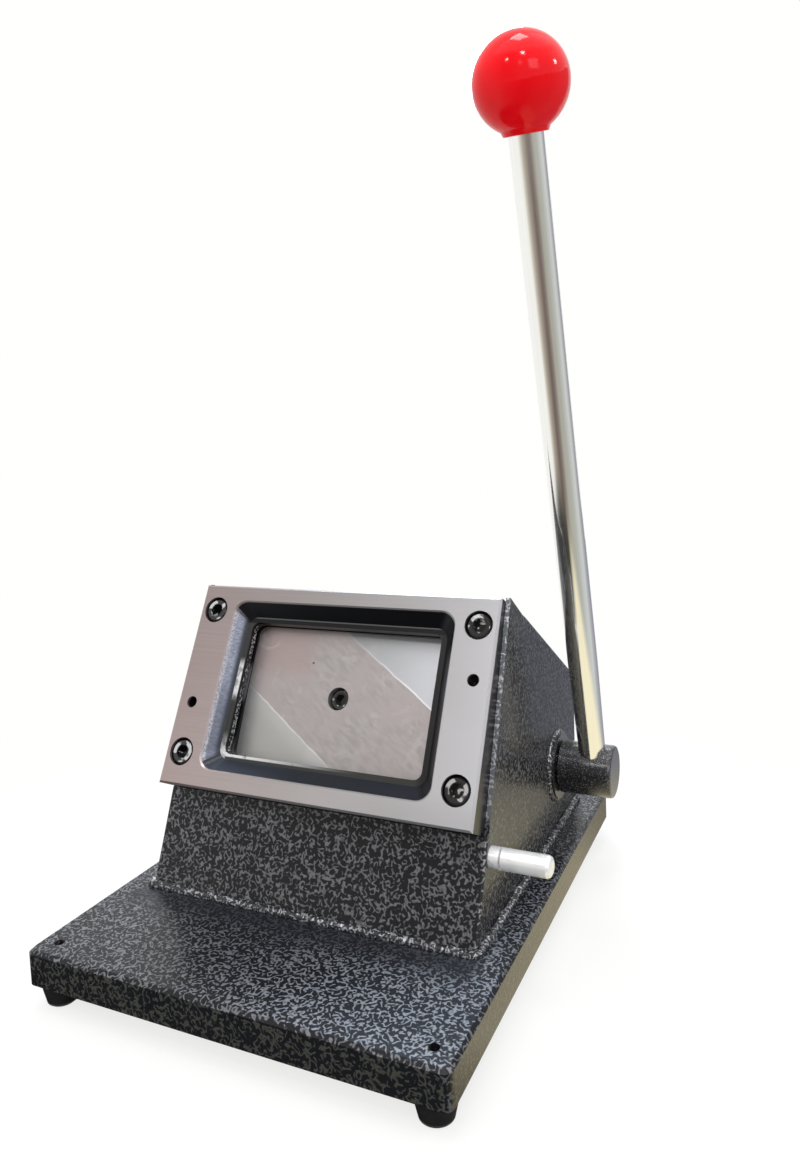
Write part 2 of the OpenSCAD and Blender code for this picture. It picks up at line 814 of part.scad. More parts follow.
module ram_shaft() {
    color("silver") placed() in_die() difference() {
        union() {
            plate_y(flange_front, flange_back) translate([0, window_v])
                rounded_rectangle(flange_w, flange_h, 4);
            translate([0, 0, window_v]) bar_y(ram_d, flange_back - tiny, clevis_front, 48);
            translate([0, 0, window_v]) bar_y(spigot_d, clevis_front - 1, clevis_front + spigot_l);
        }
        translate([0, 0, window_v])
            bar_y(punch_screw_d + 2 * run_gap, flange_front - 1, flange_back + 6, 24);
        at_punch_dowels() bar_y(dowel_d + 2 * run_gap, -1, flange_t + 1, 24);
        at_cross_pin() bar_x(cross_pin_d + 2 * run_gap, -ram_d, ram_d, 24);
    }
}

module at_cross_pin() {
    translate([0, clevis_front + spigot_l / 2 + 0.4, window_v]) children();
}

module ram_clevis() {
    low_v = shaft_v - clevis_r;
    high_v = window_v + spigot_d / 2 + 2.5;
    color("silver") placed() in_die() difference() {
        union() {
            translate([-clevis_half, clevis_front, low_v])
                cube([2 * clevis_half, yoke_back - clevis_front, high_v - low_v]);
            for (x = [-clevis_half, arm_start]) {
                translate([x, yoke_back - tiny, low_v])
                    cube([clevis_arm, roller_depth - yoke_back + tiny, 2 * clevis_r]);
                translate([0, roller_depth, shaft_v])
                    bar_x(2 * clevis_r, x, x + clevis_arm, 48);
            }
        }
        translate([0, 0, window_v])
            bar_y(spigot_d + 2 * run_gap, clevis_front - 1, yoke_back + 1);
        at_cross_pin() bar_x(cross_pin_d + 2 * run_gap, -clevis_half - 1, clevis_half + 1, 24);
        translate([0, roller_depth, shaft_v])
            bar_x(roller_pin_d + 2 * run_gap, -clevis_half - 1, clevis_half + 1);
    }
}

module clevis_cross_pin() {
    color("silver") placed() in_die() at_cross_pin()
        bar_x(cross_pin_d, -clevis_half, clevis_half, 24);
}

module roller_pin() {
    color("silver") placed() in_die() translate([0, roller_depth, shaft_v])
        bar_x(roller_pin_d, -clevis_half, clevis_half);
}

module cam_roller() {
    color("gray") placed() in_die() translate([0, roller_depth, shaft_v]) difference() {
        bar_x(roller_d, -cam_t / 2, cam_t / 2, 48);
        bar_x(roller_pin_d + 2 * run_gap, -cam_t, cam_t);
    }
}

// Cam and cross shaft

// Key on the shaft's rear side, grown by gap
module key_shape(gap) {
    translate([-cam_t / 2 - (gap > 0 ? 1 : 0), shaft_d / 2 - key_w / 2 - gap, -key_w / 2 - gap])
        cube([cam_t + (gap > 0 ? 2 : 0), key_w + 2 * gap, key_w + 2 * gap]);
}

// Half circle of radius w round an end of the slot: from the outer side to the inner side at
// the last angle, and with sign -1 from the inner side to the outer side at the first
function cam_end(a, w, sign, from = 15) =
    let(r = cam_radius(a),
        long = norm([r, cam_rise()]),
        out = [-cos(a), sin(a)],
        along = [sin(a), cos(a)],
        normal = (r * out - cam_rise() * along) / long,
        tangent = (cam_rise() * out + r * along) / long)
    [for (t = [from:15:165]) cam_point(a, 0) + sign * w * (cos(t) * normal + sin(t) * tangent)];

module cam_slot_outline() {
    polygon(concat(
        [for (a = cam_angles) cam_point(a, cam_slot_r)],
        cam_end(cam_angles[cam_steps], cam_slot_r, 1),
        [for (i = [cam_steps:-1:0]) cam_point(cam_angles[i], -cam_slot_r)],
        cam_end(cam_angles[0], cam_slot_r, -1)
    ));
}

// One outline: round the slot's outer side, its far end, the shaft and the slot's near end
module cam_outline() {
    hub_r = shaft_d / 2 + key_w + cam_web;
    last = cam_angles[cam_steps];
    hub_from = last + 16;
    hub_to = 322;
    polygon(concat(
        [for (a = cam_angles) cam_point(a, cam_reach)],
        cam_end(last, cam_reach, 1),
        [for (i = [0:24]) let(a = hub_from + i * (hub_to - hub_from) / 24) hub_r * [-cos(a), sin(a)]],
        cam_end(cam_angles[0], cam_reach, -1, 75)
    ));
}

module drive_cam() {
    color("silver") placed() in_die() translate([0, shaft_back, shaft_v]) difference() {
        profile_x(-cam_t / 2, cam_t / 2) difference() {
            cam_outline();
            cam_slot_outline();
        }
        bar_x(shaft_d + 2 * run_gap, -cam_t, cam_t, 48);
        key_shape(run_gap);
    }
}

module cam_key() {
    color("silver") placed() in_die() translate([0, shaft_back, shaft_v]) key_shape(0);
}

module cross_shaft() {
    color("silver") placed() difference() {
        at_shaft() bar_x(shaft_d, -ring_face, hub_bore_end - 0.3, 48);
        in_die() translate([0, shaft_back, shaft_v]) key_shape(run_gap);
    }
}

// Set screws point at the shaft from the side away from the crank's pin
module at_set_screws() {
    for (x = [-crank_end, crank_start])
        translate([x + collar_l / 2, shaft_y, shaft_z]) rotate([crank_rest, 0, 0]) children();
}

module set_screw_holes() {
    at_set_screws() bar_y(set_screw_d + 2 * run_gap, -collar_d, -shaft_d / 2 + 1, 24);
}

module set_screws() {
    color("dimgray") placed() at_set_screws() difference() {
        bar_y(set_screw_d, -collar_d / 2 + 0.4, -shaft_d / 2 - run_gap, 24);
        translate([0, -collar_d / 2, 0]) rotate([-90, 0, 0])
            cylinder(d = set_screw_d * 0.55, h = 2.4, $fn = 6);
    }
}

module shaft_collar() {
    color("silver") placed() difference() {
        at_shaft() bar_x(collar_d, -crank_end, -crank_start, 48);
        at_shaft() bar_x(shaft_d + 2 * run_gap, -crank_end - 1, 1 - crank_start, 48);
        set_screw_holes();
    }
}

module return_crank() {
    color("silver") placed() difference() {
        at_shaft() rotate([crank_rest, 0, 0]) profile_x(crank_start, crank_end) hull() {
            circle(d = collar_d, $fn = 48);
            translate([crank_r, 0]) circle(d = hook_bar_d + 5, $fn = 32);
        }
        at_shaft() bar_x(shaft_d + 2 * run_gap, crank_start - 1, crank_end + 1, 48);
        translate([0, crank_pin_y, crank_pin_z])
            bar_x(hook_bar_d + 2 * run_gap, crank_start - 1, crank_end + 1);
        set_screw_holes();
    }
}

module crank_pin() {
    color("silver") placed() translate([0, crank_pin_y, crank_pin_z]) {
        bar_x(hook_bar_d, spring_x - 3, crank_end - 0.3);
        bar_x(hook_bar_d + 3, spring_x - 3 - crank_pin_head, spring_x - 3 + tiny);
    }
}

// Bosses and bushes, turned about the shaft; side is -1 on the left and 1 on the right

module on_side(side) {
    at_shaft() mirror([side < 0 ? 1 : 0, 0, 0]) children();
}

module boss(side) {
    color("dimgray") placed() on_side(side) difference() {
        union() {
            bar_x(boss_d, boss_end, wall_out + tiny, 48);
            bar_x(boss_ring_d, wall_out, ring_face, 48);
        }
        bar_x(bush_d + 2 * seat_gap, boss_end - 1, ring_face + 1, 48);
    }
}

module bush(side) {
    color("goldenrod") placed() on_side(side) difference() {
        union() {
            bar_x(bush_d, bush_end, ring_face, 48);
            bar_x(boss_d, bush_end, boss_end, 48);
        }
        bar_x(shaft_d + 2 * run_gap, bush_end - 1, ring_face + 1, 48);
    }
}

module boss_left() {
    boss(-1);
}

module boss_right() {
    boss(1);
}

module bush_left() {
    bush(-1);
}

module bush_right() {
    bush(1);
}

// Lever

module lever_hub() {
    color("dimgray") placed() in_lever() difference() {
        translate([hub_start, 0, 0]) rotate([0, 90, 0]) rotate_extrude($fn = 48) polygon([
            [0, 0], [hub_d / 2 - 0.6, 0], [hub_d / 2, 0.6], [hub_d / 2, hub_l - hub_round],
            [hub_d / 2 - hub_round * 0.3, hub_l - hub_round * 0.3],
            [hub_d / 2 - hub_round, hub_l], [0, hub_l]
        ]);
        bar_x(shaft_d + 2 * run_gap, hub_start - 1, hub_bore_end, 48);
        translate([rod_x, 0, rod_foot])
            cylinder(d = rod_end_d + 2 * run_gap, h = hub_d, $fn = 48);
    }
}

module lever_rod() {
    color("silver") placed() in_lever() translate([rod_x, 0, 0]) rotate_extrude($fn = 48) polygon([
        [0, rod_foot + 0.2],
        [rod_end_d / 2, rod_foot + 0.2],
        [rod_end_d / 2, rod_taper_low],
        [rod_d / 2, rod_taper_high],
        [rod_d / 2, ball_bottom],
        [rod_thread_d / 2, ball_bottom],
        [rod_thread_d / 2, ball_bottom + insert_l],
        [0, ball_bottom + insert_l]
    ]);
}

module ball_knob() {
    color("red") placed() in_lever() translate([rod_x, 0, 0]) difference() {
        union() {
            translate([0, 0, lever_l]) sphere(d = ball_d, $fn = 48);
            translate([0, 0, ball_bottom - 1]) cylinder(d = ball_collar_d, h = ball_d / 3, $fn = 48);
        }
        translate([0, 0, ball_bottom - ball_d]) cylinder(d = ball_d, h = ball_d, $fn = 48);
        translate([0, 0, ball_bottom - 1])
            cylinder(d = insert_d + 2 * run_gap, h = insert_l + 2, $fn = 32);
    }
}

module knob_insert() {
    color("gold") placed() in_lever() translate([rod_x, 0, ball_bottom]) difference() {
        cylinder(d = insert_d, h = insert_l + 1, $fn = 32);
        translate([0, 0, -1]) cylinder(d = rod_thread_d + 2 * run_gap, h = insert_l + 1.2, $fn = 32);
    }
}

// Stops and return spring

module stop_pin() {
    groove = 0.3;
    core_r = stop_d / 2 - 0.8;
    dome = 1.6;
    x0 = -stop_in;
    x1 = stop_l;
    seam = stop_groove_x - wall_out;
    color("silver") placed() translate([wall_out, stop_y, stop_z])
        rotate([0, 90, 0]) rotate_extrude($fn = 32) polygon([
            [0, x0], [stop_stub_d / 2, x0], [stop_stub_d / 2, 0],
            [stop_d / 2, 0], [stop_d / 2, seam - groove],
            [core_r, seam - groove], [core_r, seam + groove],
            [stop_d / 2, seam + groove], [stop_d / 2, x1 - dome],
            [stop_d / 2 - dome * 0.3, x1 - dome * 0.35], [stop_d / 2 - dome, x1], [0, x1]
        ]);
}

module stop_block() {
    color("gray") placed() difference() {
        in_face() translate([inner_half - stop_in, sheet_t + 0.1, stop_up - 9])
            cube([stop_in, 13, 16]);
        in_die() translate([0, -50, -end_gap]) cube([100, 100, 50]);
        translate([0, stop_y, stop_z])
            bar_x(stop_stub_d + 2 * seat_gap, inner_half - stop_in - 1, wall_out);
    }
}

module tie_bar() {
    color("silver") placed() translate([0, crank_pin_y, tie_z]) bar_x(hook_bar_d, -inner_half, inner_half);
}

// Tube of radius r along a route of points, each with a direction across the route
function ring_points(route, i, r, sides) =
    let(last = len(route) - 1,
        before = route[max(i - 1, 0)][0],
        after = route[min(i + 1, last)][0],
        along = (after - before) / norm(after - before),
        side_raw = cross(along, route[i][1]),
        side = side_raw / norm(side_raw),
        out = cross(side, along))
    [for (k = [0:sides - 1])
        route[i][0] + r * (cos(360 * k / sides) * out + sin(360 * k / sides) * side)];

module sweep(route, r, sides) {
    rings = len(route);
    points = [for (i = [0:rings - 1]) for (p = ring_points(route, i, r, sides)) p];
    sides_faces = [for (i = [0:rings - 2]) for (k = [0:sides - 1])
        let(a = i * sides + k, b = i * sides + (k + 1) % sides)
        each [[a, b, a + sides], [b, b + sides, a + sides]]];
    start_faces = [for (k = [1:sides - 2]) [0, k + 1, k]];
    top = (rings - 1) * sides;
    end_faces = [for (k = [1:sides - 2]) [top, top + k, top + k + 1]];
    polyhedron(points = points, faces = concat(sides_faces, start_faces, end_faces), convexity = 10);
}

module return_spring() {
    color("silver") placed() sweep(spring_route, spring_wire / 2, 6);
}

base_plate();
foot_front_left();
foot_front_right();
foot_rear_left();
foot_rear_right();
foot_screws();
side_wall_left();
side_wall_right();
front_panel();
roof_panel();
rear_cover();
cover_lugs();
cover_screws();
weld_bead();
die_plate();
die_screws();
dowel_pins();
card_guide_left();
card_guide_right();
guide_plate();
mounting_block_left();
mounting_block_right();
bridge_plate();
bridge_screws();
ram_bush();
punch();
punch_screw();
punch_dowels();
ram_shaft();
ram_clevis();
clevis_cross_pin();
roller_pin();
cam_roller();
drive_cam();
cam_key();
cross_shaft();
shaft_collar();
return_crank();
crank_pin();
set_screws();
bush_left();
bush_right();
boss_left();
boss_right();
lever_hub();
lever_rod();
ball_knob();
knob_insert();
stop_pin();
stop_block();
tie_bar();
return_spring();
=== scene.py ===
"""Finishes for the manual card die cutter: paint, ground steel, welds, lever, studio and camera."""
import math
import random

import bmesh
import bpy
from mathutils import Matrix, Vector


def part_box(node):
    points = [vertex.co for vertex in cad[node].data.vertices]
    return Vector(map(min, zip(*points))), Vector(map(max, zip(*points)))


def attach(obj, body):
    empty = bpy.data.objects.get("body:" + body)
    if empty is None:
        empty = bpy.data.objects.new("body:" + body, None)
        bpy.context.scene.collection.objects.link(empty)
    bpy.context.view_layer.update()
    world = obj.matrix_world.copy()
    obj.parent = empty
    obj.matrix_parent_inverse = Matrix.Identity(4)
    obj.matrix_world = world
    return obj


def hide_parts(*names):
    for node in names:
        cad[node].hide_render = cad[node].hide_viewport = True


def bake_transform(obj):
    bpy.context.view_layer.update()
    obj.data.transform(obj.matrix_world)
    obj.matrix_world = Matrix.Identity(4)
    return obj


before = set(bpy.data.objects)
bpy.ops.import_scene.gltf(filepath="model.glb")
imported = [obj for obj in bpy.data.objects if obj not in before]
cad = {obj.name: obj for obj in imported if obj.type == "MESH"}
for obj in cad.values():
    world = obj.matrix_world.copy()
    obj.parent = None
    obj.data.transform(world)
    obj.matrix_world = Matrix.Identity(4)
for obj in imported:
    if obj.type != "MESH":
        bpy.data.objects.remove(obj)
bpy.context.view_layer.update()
scene = bpy.context.scene


def leaning(degrees):
    """Directions out of a face that leans back, and up along it."""
    lean = math.radians(degrees)
    return Vector((0, -math.cos(lean), math.sin(lean))), Vector((0, math.sin(lean), math.cos(lean)))


def centre(name):
    """The middle of a CAD node's box."""
    low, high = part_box(name)
    return (low + high) / 2


# Directions of the machine, angles in degrees
RIGHT = Vector((1, 0, 0))
FORWARD = Vector((0, -1, 0))
UP = Vector((0, 0, 1))
FACE_LEAN = 23.2
DIE_LEAN = 28.2
LEVER_LEAN = 17.5
FACE_OUT = leaning(FACE_LEAN)[0]
DIE_OUT, DIE_UP = leaning(DIE_LEAN)

# Places and sizes that several pieces share, in metres
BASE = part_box("base_plate")
BASE_TOP = BASE[1].z
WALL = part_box("side_wall_right")
WALL_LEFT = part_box("side_wall_left")[0].x
WALL_RIGHT = WALL[1].x
MIDDLE = (WALL_LEFT + WALL_RIGHT) / 2
HOUSING_FRONT = WALL[0].y
HOUSING_REAR = WALL[1].y
HOUSING_TOP = WALL[1].z
REAR_HEIGHT = 0.0602
ROOF_REAR = BASE_TOP + REAR_HEIGHT
SHEET = 0.0018
PIVOT = centre("boss_right")
ROD_OUT = 0.0163
ROD_X = WALL_RIGHT + ROD_OUT
LEVER_LENGTH = 0.2705
BALL_RADIUS = 0.016
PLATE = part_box("die_plate")
DIE_THICK = 0.010
DIE_FOOT = Vector((MIDDLE, PLATE[0].y, PLATE[0].z + DIE_THICK * math.sin(math.radians(DIE_LEAN))))

# On the die plate's face: sideways from its middle, upwards from its foot
PLATE_SIDE = 0.066
PLATE_TOP = 0.082
WINDOW_SIDE = 0.0505
WINDOW_FOOT = 0.006
WINDOW_TOP = 0.0785
PUNCH_MIDDLE = 0.0418
SCREW_SIDE = 0.0588
SCREW_MIDDLE = 0.0423
SCREW_RISE = 0.0294


# Camera

def direction(turn, rise):
    """The way out from the machine at a turn from the front to the right, and a height angle."""
    turn, rise = math.radians(turn), math.radians(rise)
    flat = math.cos(rise)
    return Vector((math.sin(turn) * flat, -math.cos(turn) * flat, math.sin(rise)))


def place_camera():
    """Puts the camera where the photograph was taken from."""
    back = direction(25.16, 4.95)
    roll = math.radians(-2.31)
    right = (-back).cross(UP).normalized()
    up = right.cross(-back)
    level_right = right * math.cos(roll) + up * math.sin(roll)
    level_up = up * math.cos(roll) - right * math.sin(roll)
    lens = bpy.data.cameras.new("photo_camera")
    lens.sensor_width = 36
    lens.lens = 27.52
    lens.shift_y = -0.0592
    lens.clip_start = 0.01
    lens.clip_end = 50
    camera = bpy.data.objects.new("photo_camera", lens)
    turned = Matrix((level_right, level_up, back)).transposed().to_4x4()
    corner = Vector((BASE[1].x, BASE[0].y, BASE_TOP))
    turned.translation = corner + Vector((0.09005, -0.20922, 0.17481))
    camera.matrix_world = turned
    scene.collection.objects.link(camera)
    scene.camera = camera


# Materials

def colour(value):
    """A socket, or a grey number or three numbers as a colour."""
    if isinstance(value, bpy.types.NodeSocket):
        return value
    if isinstance(value, (int, float)):
        value = (value, value, value)
    return (*value, 1.0)


def shaded(tone, share):
    """A colour made darker or paler."""
    return [share * part for part in tone]


class Nodes:
    """A node tree being built, with short calls for its nodes."""

    def __init__(self, tree):
        self.tree = tree
        tree.nodes.clear()

    def node(self, kind, **settings):
        made = self.tree.nodes.new(kind)
        for setting, value in settings.items():
            setattr(made, setting, value)
        return made

    def join(self, source, target):
        self.tree.links.new(source, target)

    def feed(self, target, value):
        """Links a socket, or sets a plain number or colour."""
        if isinstance(value, bpy.types.NodeSocket):
            self.join(value, target)
        else:
            target.default_value = value

    def maths(self, operation, a, b=0.0):
        made = self.node("ShaderNodeMath", operation=operation)
        self.feed(made.inputs[0], a)
        self.feed(made.inputs[1], b)
        return made.outputs[0]

    def span(self, value, low, high, start=0.0, end=1.0, smooth=True):
        """Value from low to high becomes start to end."""
        kind = "SMOOTHSTEP" if smooth else "LINEAR"
        made = self.node("ShaderNodeMapRange", interpolation_type=kind)
        self.feed(made.inputs["Value"], value)
        limits = {"From Min": low, "From Max": high, "To Min": start, "To Max": end}
        for socket, number in limits.items():
            made.inputs[socket].default_value = number
        return made.outputs["Result"]

    def seen(self):
        """1 for what the camera sees, straight or in gloss; 0 for what only lights."""
        ray = self.node("ShaderNodeLightPath").outputs
        bounced = self.maths("MAXIMUM", ray["Is Glossy Ray"], ray["Is Transmission Ray"])
        return self.maths("MAXIMUM", ray["Is Camera Ray"], bounced)

    def blend(self, factor, a, b):
        """One shader turning into another."""
        made = self.node("ShaderNodeMixShader")
        for target, source in zip(made.inputs, (factor, a.outputs[0], b.outputs[0])):
            self.join(source, target)
        return made.outputs[0]


class Finish(Nodes):
    """A material being built, measured from the origin of its piece."""

    def __init__(self, name, **sockets):
        self.material = bpy.data.materials.new(name)
        self.material.use_nodes = True
        super().__init__(self.material.node_tree)
        self.shader = self.node("ShaderNodeBsdfPrincipled")
        self.surface = self.node("ShaderNodeOutputMaterial").inputs["Surface"]
        self.join(self.shader.outputs[0], self.surface)
        self.place = self.node("ShaderNodeTexCoord").outputs["Object"]
        for socket, value in sockets.items():
            self.shader.inputs[socket.replace("_", " ")].default_value = value

    def paint(self, socket, value):
        self.feed(self.shader.inputs[socket], value)

    def noise(self, scale, detail=2.0, distortion=0.0, where=None):
        made = self.node("ShaderNodeTexNoise")
        self.join(where or self.place, made.inputs["Vector"])
        made.inputs["Scale"].default_value = scale
        made.inputs["Detail"].default_value = detail
        made.inputs["Distortion"].default_value = distortion
        return made.outputs["Fac"]

    def grain(self, size, detail=2.0, distortion=0.0, turn=(0, 0, 0)):
        """Noise with a size along each axis, in metres, after a turn in degrees."""
        made = self.node("ShaderNodeMapping", vector_type="TEXTURE")
        self.join(self.place, made.inputs["Vector"])
        made.inputs["Rotation"].default_value = [math.radians(a) for a in turn]
        made.inputs["Scale"].default_value = size
        return self.noise(1, detail, distortion, made.outputs["Vector"])

    def dots(self, scale):
        """Distance from scattered points."""
        made = self.node("ShaderNodeTexVoronoi")
        self.join(self.place, made.inputs["Vector"])
        made.inputs["Scale"].default_value = scale
        return made.outputs["Distance"]

    def mix(self, factor, a, b):
        made = self.node("ShaderNodeMix", data_type="RGBA")
        self.feed(made.inputs["Factor"], factor)
        self.feed(made.inputs["A"], colour(a))
        self.feed(made.inputs["B"], colour(b))
        return made.outputs["Result"]

    def ramp(self, value, *stops):
        """Colour by value from 0 to 1, from (place, colour) stops."""
        made = self.node("ShaderNodeValToRGB")
        self.join(value, made.inputs["Fac"])
        while len(made.color_ramp.elements) < len(stops):
            made.color_ramp.elements.new(0.5)
        for element, (place, tone) in zip(made.color_ramp.elements, stops):
            element.position = place
            element.color = colour(tone)
        return made.outputs["Color"]

    def toward(self, vector, way):
        """A vector's share along a direction."""
        dot = self.node("ShaderNodeVectorMath", operation="DOT_PRODUCT")
        self.join(vector, dot.inputs[0])
        dot.inputs[1].default_value = way
        return dot.outputs["Value"]

    def along(self, way, start=(0, 0, 0)):
        """How far a point of the piece lies along a direction from a start, in metres."""
        return self.maths("SUBTRACT", self.toward(self.place, way), Vector(start).dot(way))

    def facing(self, way, low, high):
        """1 where the surface faces that way on the piece, falling to 0."""
        normal = self.node("ShaderNodeNewGeometry").outputs["True Normal"]
        return self.span(self.toward(normal, way), low, high)

    def away(self):
        """Distance of a point from the origin, in metres."""
        made = self.node("ShaderNodeVectorMath", operation="LENGTH")
        self.join(self.place, made.inputs[0])
        return made.outputs["Value"]

    def within(self, value, low, high, soft):
        """1 where a value lies between two limits, with soft sides."""
        return self.times(self.span(value, low - soft, low),
                          self.span(value, high, high + soft, 1.0, 0.0))

    def times(self, *masks):
        product = masks[0]
        for mask in masks[1:]:
            product = self.maths("MULTIPLY", product, mask)
        return product

    def relief(self, *layers, flat=False):
        """Bump from (height, distance in metres, strength) layers, on flat faces if asked."""
        before = self.node("ShaderNodeNewGeometry").outputs["True Normal"] if flat else None
        for height, distance, strength in layers:
            made = self.node("ShaderNodeBump")
            self.join(height, made.inputs["Height"])
            made.inputs["Distance"].default_value = distance
            made.inputs["Strength"].default_value = strength
            if before:
                self.join(before, made.inputs["Normal"])
            before = made.outputs["Normal"]
        self.join(before, self.shader.inputs["Normal"])


def hammered_paint(name, size, dark, pale, share, gloss, lit=None, glint=None):
    """Hammered enamel: pale metallic worms between dark veins.

    A larger size makes the worms finer, a larger share makes more of them. lit is the direction
    of a corner given a painted highlight; glint is the direction of the base's painted bluish
    reflections.
    """
    f = Finish(name, Coat_Weight=gloss, Coat_Roughness=0.09 + 0.15 * gloss,
               Specular_IOR_Level=0.22)
    ridge = f.maths("ABSOLUTE", f.maths("SUBTRACT", f.noise(530 * size, 0.0, 0.4), 0.5))
    worms = f.span(ridge, 0.010, 0.135, 1.0, 0.0)
    breaks = f.span(f.noise(760 * size, 0.0, 0.3), 0.56 - share, 0.70 - share)
    flecks = f.times(worms, breaks)
    low = f.mix(f.noise(60), shaded(dark, 0.7), shaded(dark, 1.3))
    high = f.mix(f.noise(240, 1.0), shaded(pale, 0.7), shaded(pale, 1.3))
    if lit:
        low, high = paint_corner_highlight(f, low, high, lit)
    if glint:
        low, high = base_painted_light(f, low, high, glint)
    f.paint("Base Color", f.mix(flecks, low, high))
    f.paint("Metallic", f.maths("MULTIPLY", flecks, 0.7))
    f.paint("Roughness", f.span(flecks, 0.0, 1.0, 0.26, 0.44))
    f.relief((flecks, 0.00010, 0.5), (f.noise(150, 1.0), 0.0003, 0.2))
    return f.material


def paint_corner_highlight(f, low, high, lit):
    """Painted highlights: paler tones on the corner that faces the light and on the sheet's rim by
    the die plate.
    """
    beside = f.span(f.along(UP), PLATE[0].z - 0.001, PLATE[0].z + 0.006)
    rim = f.times(f.facing(FACE_OUT, 0.97, 0.99), beside)
    corner = f.maths("MAXIMUM", f.facing(lit, 0.88, 0.97), rim)
    # Painted highlight: brightest beside the die plate, dimmer lower down.
    low = f.mix(corner, low, f.mix(beside, (0.02, 0.021, 0.024), (0.17, 0.175, 0.19)))
    high = f.mix(corner, high, f.mix(beside, (0.34, 0.35, 0.37), (0.74, 0.75, 0.77)))
    return low, high


def base_painted_light(f, low, high, glint):
    """Painted light on the base: bluish top reflections, a dim band before the housing, muted
    front, tan side.
    """
    top = f.facing(UP, 0.80, 0.96)
    reach = f.along(glint)
    # Painted reflection: bluish worms and veins on the top, far along glint.
    high = f.mix(f.times(top, f.span(reach, 0.025, 0.095, 0.0, 0.85)), high, (0.50, 0.555, 0.64))
    low = f.mix(f.times(top, f.span(reach, 0.050, 0.110, 0.0, 0.55)), low, (0.060, 0.070, 0.085))
    # Painted reflection: the top dims just before the housing's dark front.
    before = f.along(FORWARD, (0, HOUSING_FRONT, 0))
    painted_dim = f.times(f.span(before, 0.006, 0.021, 0.88, 0.0),
                  f.within(f.along(RIGHT), WALL_LEFT, WALL_RIGHT, 0.006), top)
    high = f.mix(painted_dim, high, (0.055, 0.060, 0.075))
    # Painted shade: the front face is muted.
    high = f.mix(f.facing(FORWARD, 0.94, 0.99), high, (0.135, 0.133, 0.115))
    # Painted reflection: the side turns tan.
    side = f.facing(RIGHT, 0.80, 0.96)
    low = f.mix(side, low, (0.045, 0.038, 0.026))
    high = f.mix(side, high, (0.175, 0.150, 0.112))
    return low, high


def on_plate(f):
    """Places across the die plate's face from its middle, and up it from its foot."""
    return f.along(RIGHT, DIE_FOOT), f.along(DIE_UP, DIE_FOOT)


def ground_plate():
    """Surface-ground die steel with painted light and shade; a dark slope, a ledge and a rough cut
    round the window.
    """
    f = Finish("ground_plate", Metallic=0.85)
    u, v = on_plate(f)
    depth = f.along(-DIE_OUT, DIE_FOOT)
    window = f.times(f.within(u, -WINDOW_SIDE, WINDOW_SIDE, 0.0004),
                     f.within(v, WINDOW_FOOT, WINDOW_TOP, 0.0004))
    edge = f.span(window, 0.0, 1.0, 0.0009, 0.0001)
    front = f.span(f.maths("SUBTRACT", depth, edge), 0.0, 0.0003, 1.0, 0.0)
    flat = f.facing(DIE_OUT, 0.97, 0.99)
    steep = f.maths("SUBTRACT", 1.0, flat)

    lines = f.grain((0.05, 0.0007, 0.0007), 3.0)
    inside = f.mix(flat, milled_slope(f, v, depth), window_ledge(f, u, v))
    # Painted shade: steep walls deeper than the ledge take the near-black wall.
    inside = f.mix(f.times(f.span(depth, 0.0060, 0.0062), steep), inside, rough_cut(f, u, depth))
    # Painted shade: sides and holes, off the face and outside the window, are near black.
    tone = f.mix(window, (0.035, 0.035, 0.038), inside)
    f.paint("Base Color", f.mix(front, tone, ground_face(f, u, v, lines)))
    f.paint("Roughness", f.mix(front, 0.30, 0.40))
    f.relief((lines, 0.00001, 0.2), flat=True)
    return f.material


def ground_face(f, u, v, lines):
    """The plate's face in painted reflection: warm at the left, bluish at the right, darker upwards
    and low right.
    """
    painted_dim = (0.05, 0.05, 0.05)
    # Painted reflection: tone across the face, darker upwards and low right; the grinding lines and
    # patches below are its own.
    part = f.span(u, -PLATE_SIDE, PLATE_SIDE, smooth=False)
    tone = f.ramp(part, (0.0, (0.42, 0.335, 0.330)), (0.45, (0.44, 0.415, 0.415)),
                  (1.0, (0.555, 0.565, 0.590)))
    tone = f.mix(f.span(v, 0.0, PLATE_TOP, 0.0, 0.30, smooth=False), tone, painted_dim)
    painted_dim_low_right = f.times(f.span(v, 0.0, 0.014, 0.16, 0.0), f.span(u, 0.0, 0.040))
    tone = f.mix(painted_dim_low_right, tone, painted_dim)
    tone = f.mix(f.span(lines, 0.3, 0.7, 0.0, 0.10), tone, (0.55, 0.54, 0.53))
    return f.mix(f.span(f.noise(22), 0.40, 0.70, 0.0, 0.12), tone, (0.30, 0.26, 0.25))


def milled_slope(f, v, depth):
    """The bevel round the window: cross marks, a crumbly pale rim; painted shade and reflection
    darken it below and on all but its left slope.
    """
    cross = f.grain((0.0040, 0.0012, 0.0005), distortion=0.5, turn=(-DIE_LEAN, 0, 0))
    tone = f.mix(f.span(cross, 0.30, 0.74), (0.19, 0.215, 0.265), (0.33, 0.37, 0.44))
    # Painted shade: darker low down and deeper in.
    tone = f.mix(f.span(v, 0.028, 0.052, 0.55, 0.0), tone, (0.09, 0.105, 0.14))
    tone = f.mix(f.span(depth, 0.0032, 0.0050), tone, (0.05, 0.056, 0.068))
    crumbs = f.span(f.noise(1400), 0.36, 0.66)
    rim = f.mix(crumbs, (0.25, 0.265, 0.29), (0.48, 0.50, 0.53))
    tone = f.mix(f.span(depth, 0.0010, 0.0018, 1.0, 0.0), tone, rim)
    # Painted reflection and shade: the top and right slopes go near black, the lower slope dark
    # blue.
    tone = f.mix(f.facing(RIGHT, 0.5, 0.7), (0.018, 0.019, 0.023), tone)
    return f.mix(f.facing(DIE_UP, 0.5, 0.7), tone, (0.046, 0.053, 0.068))


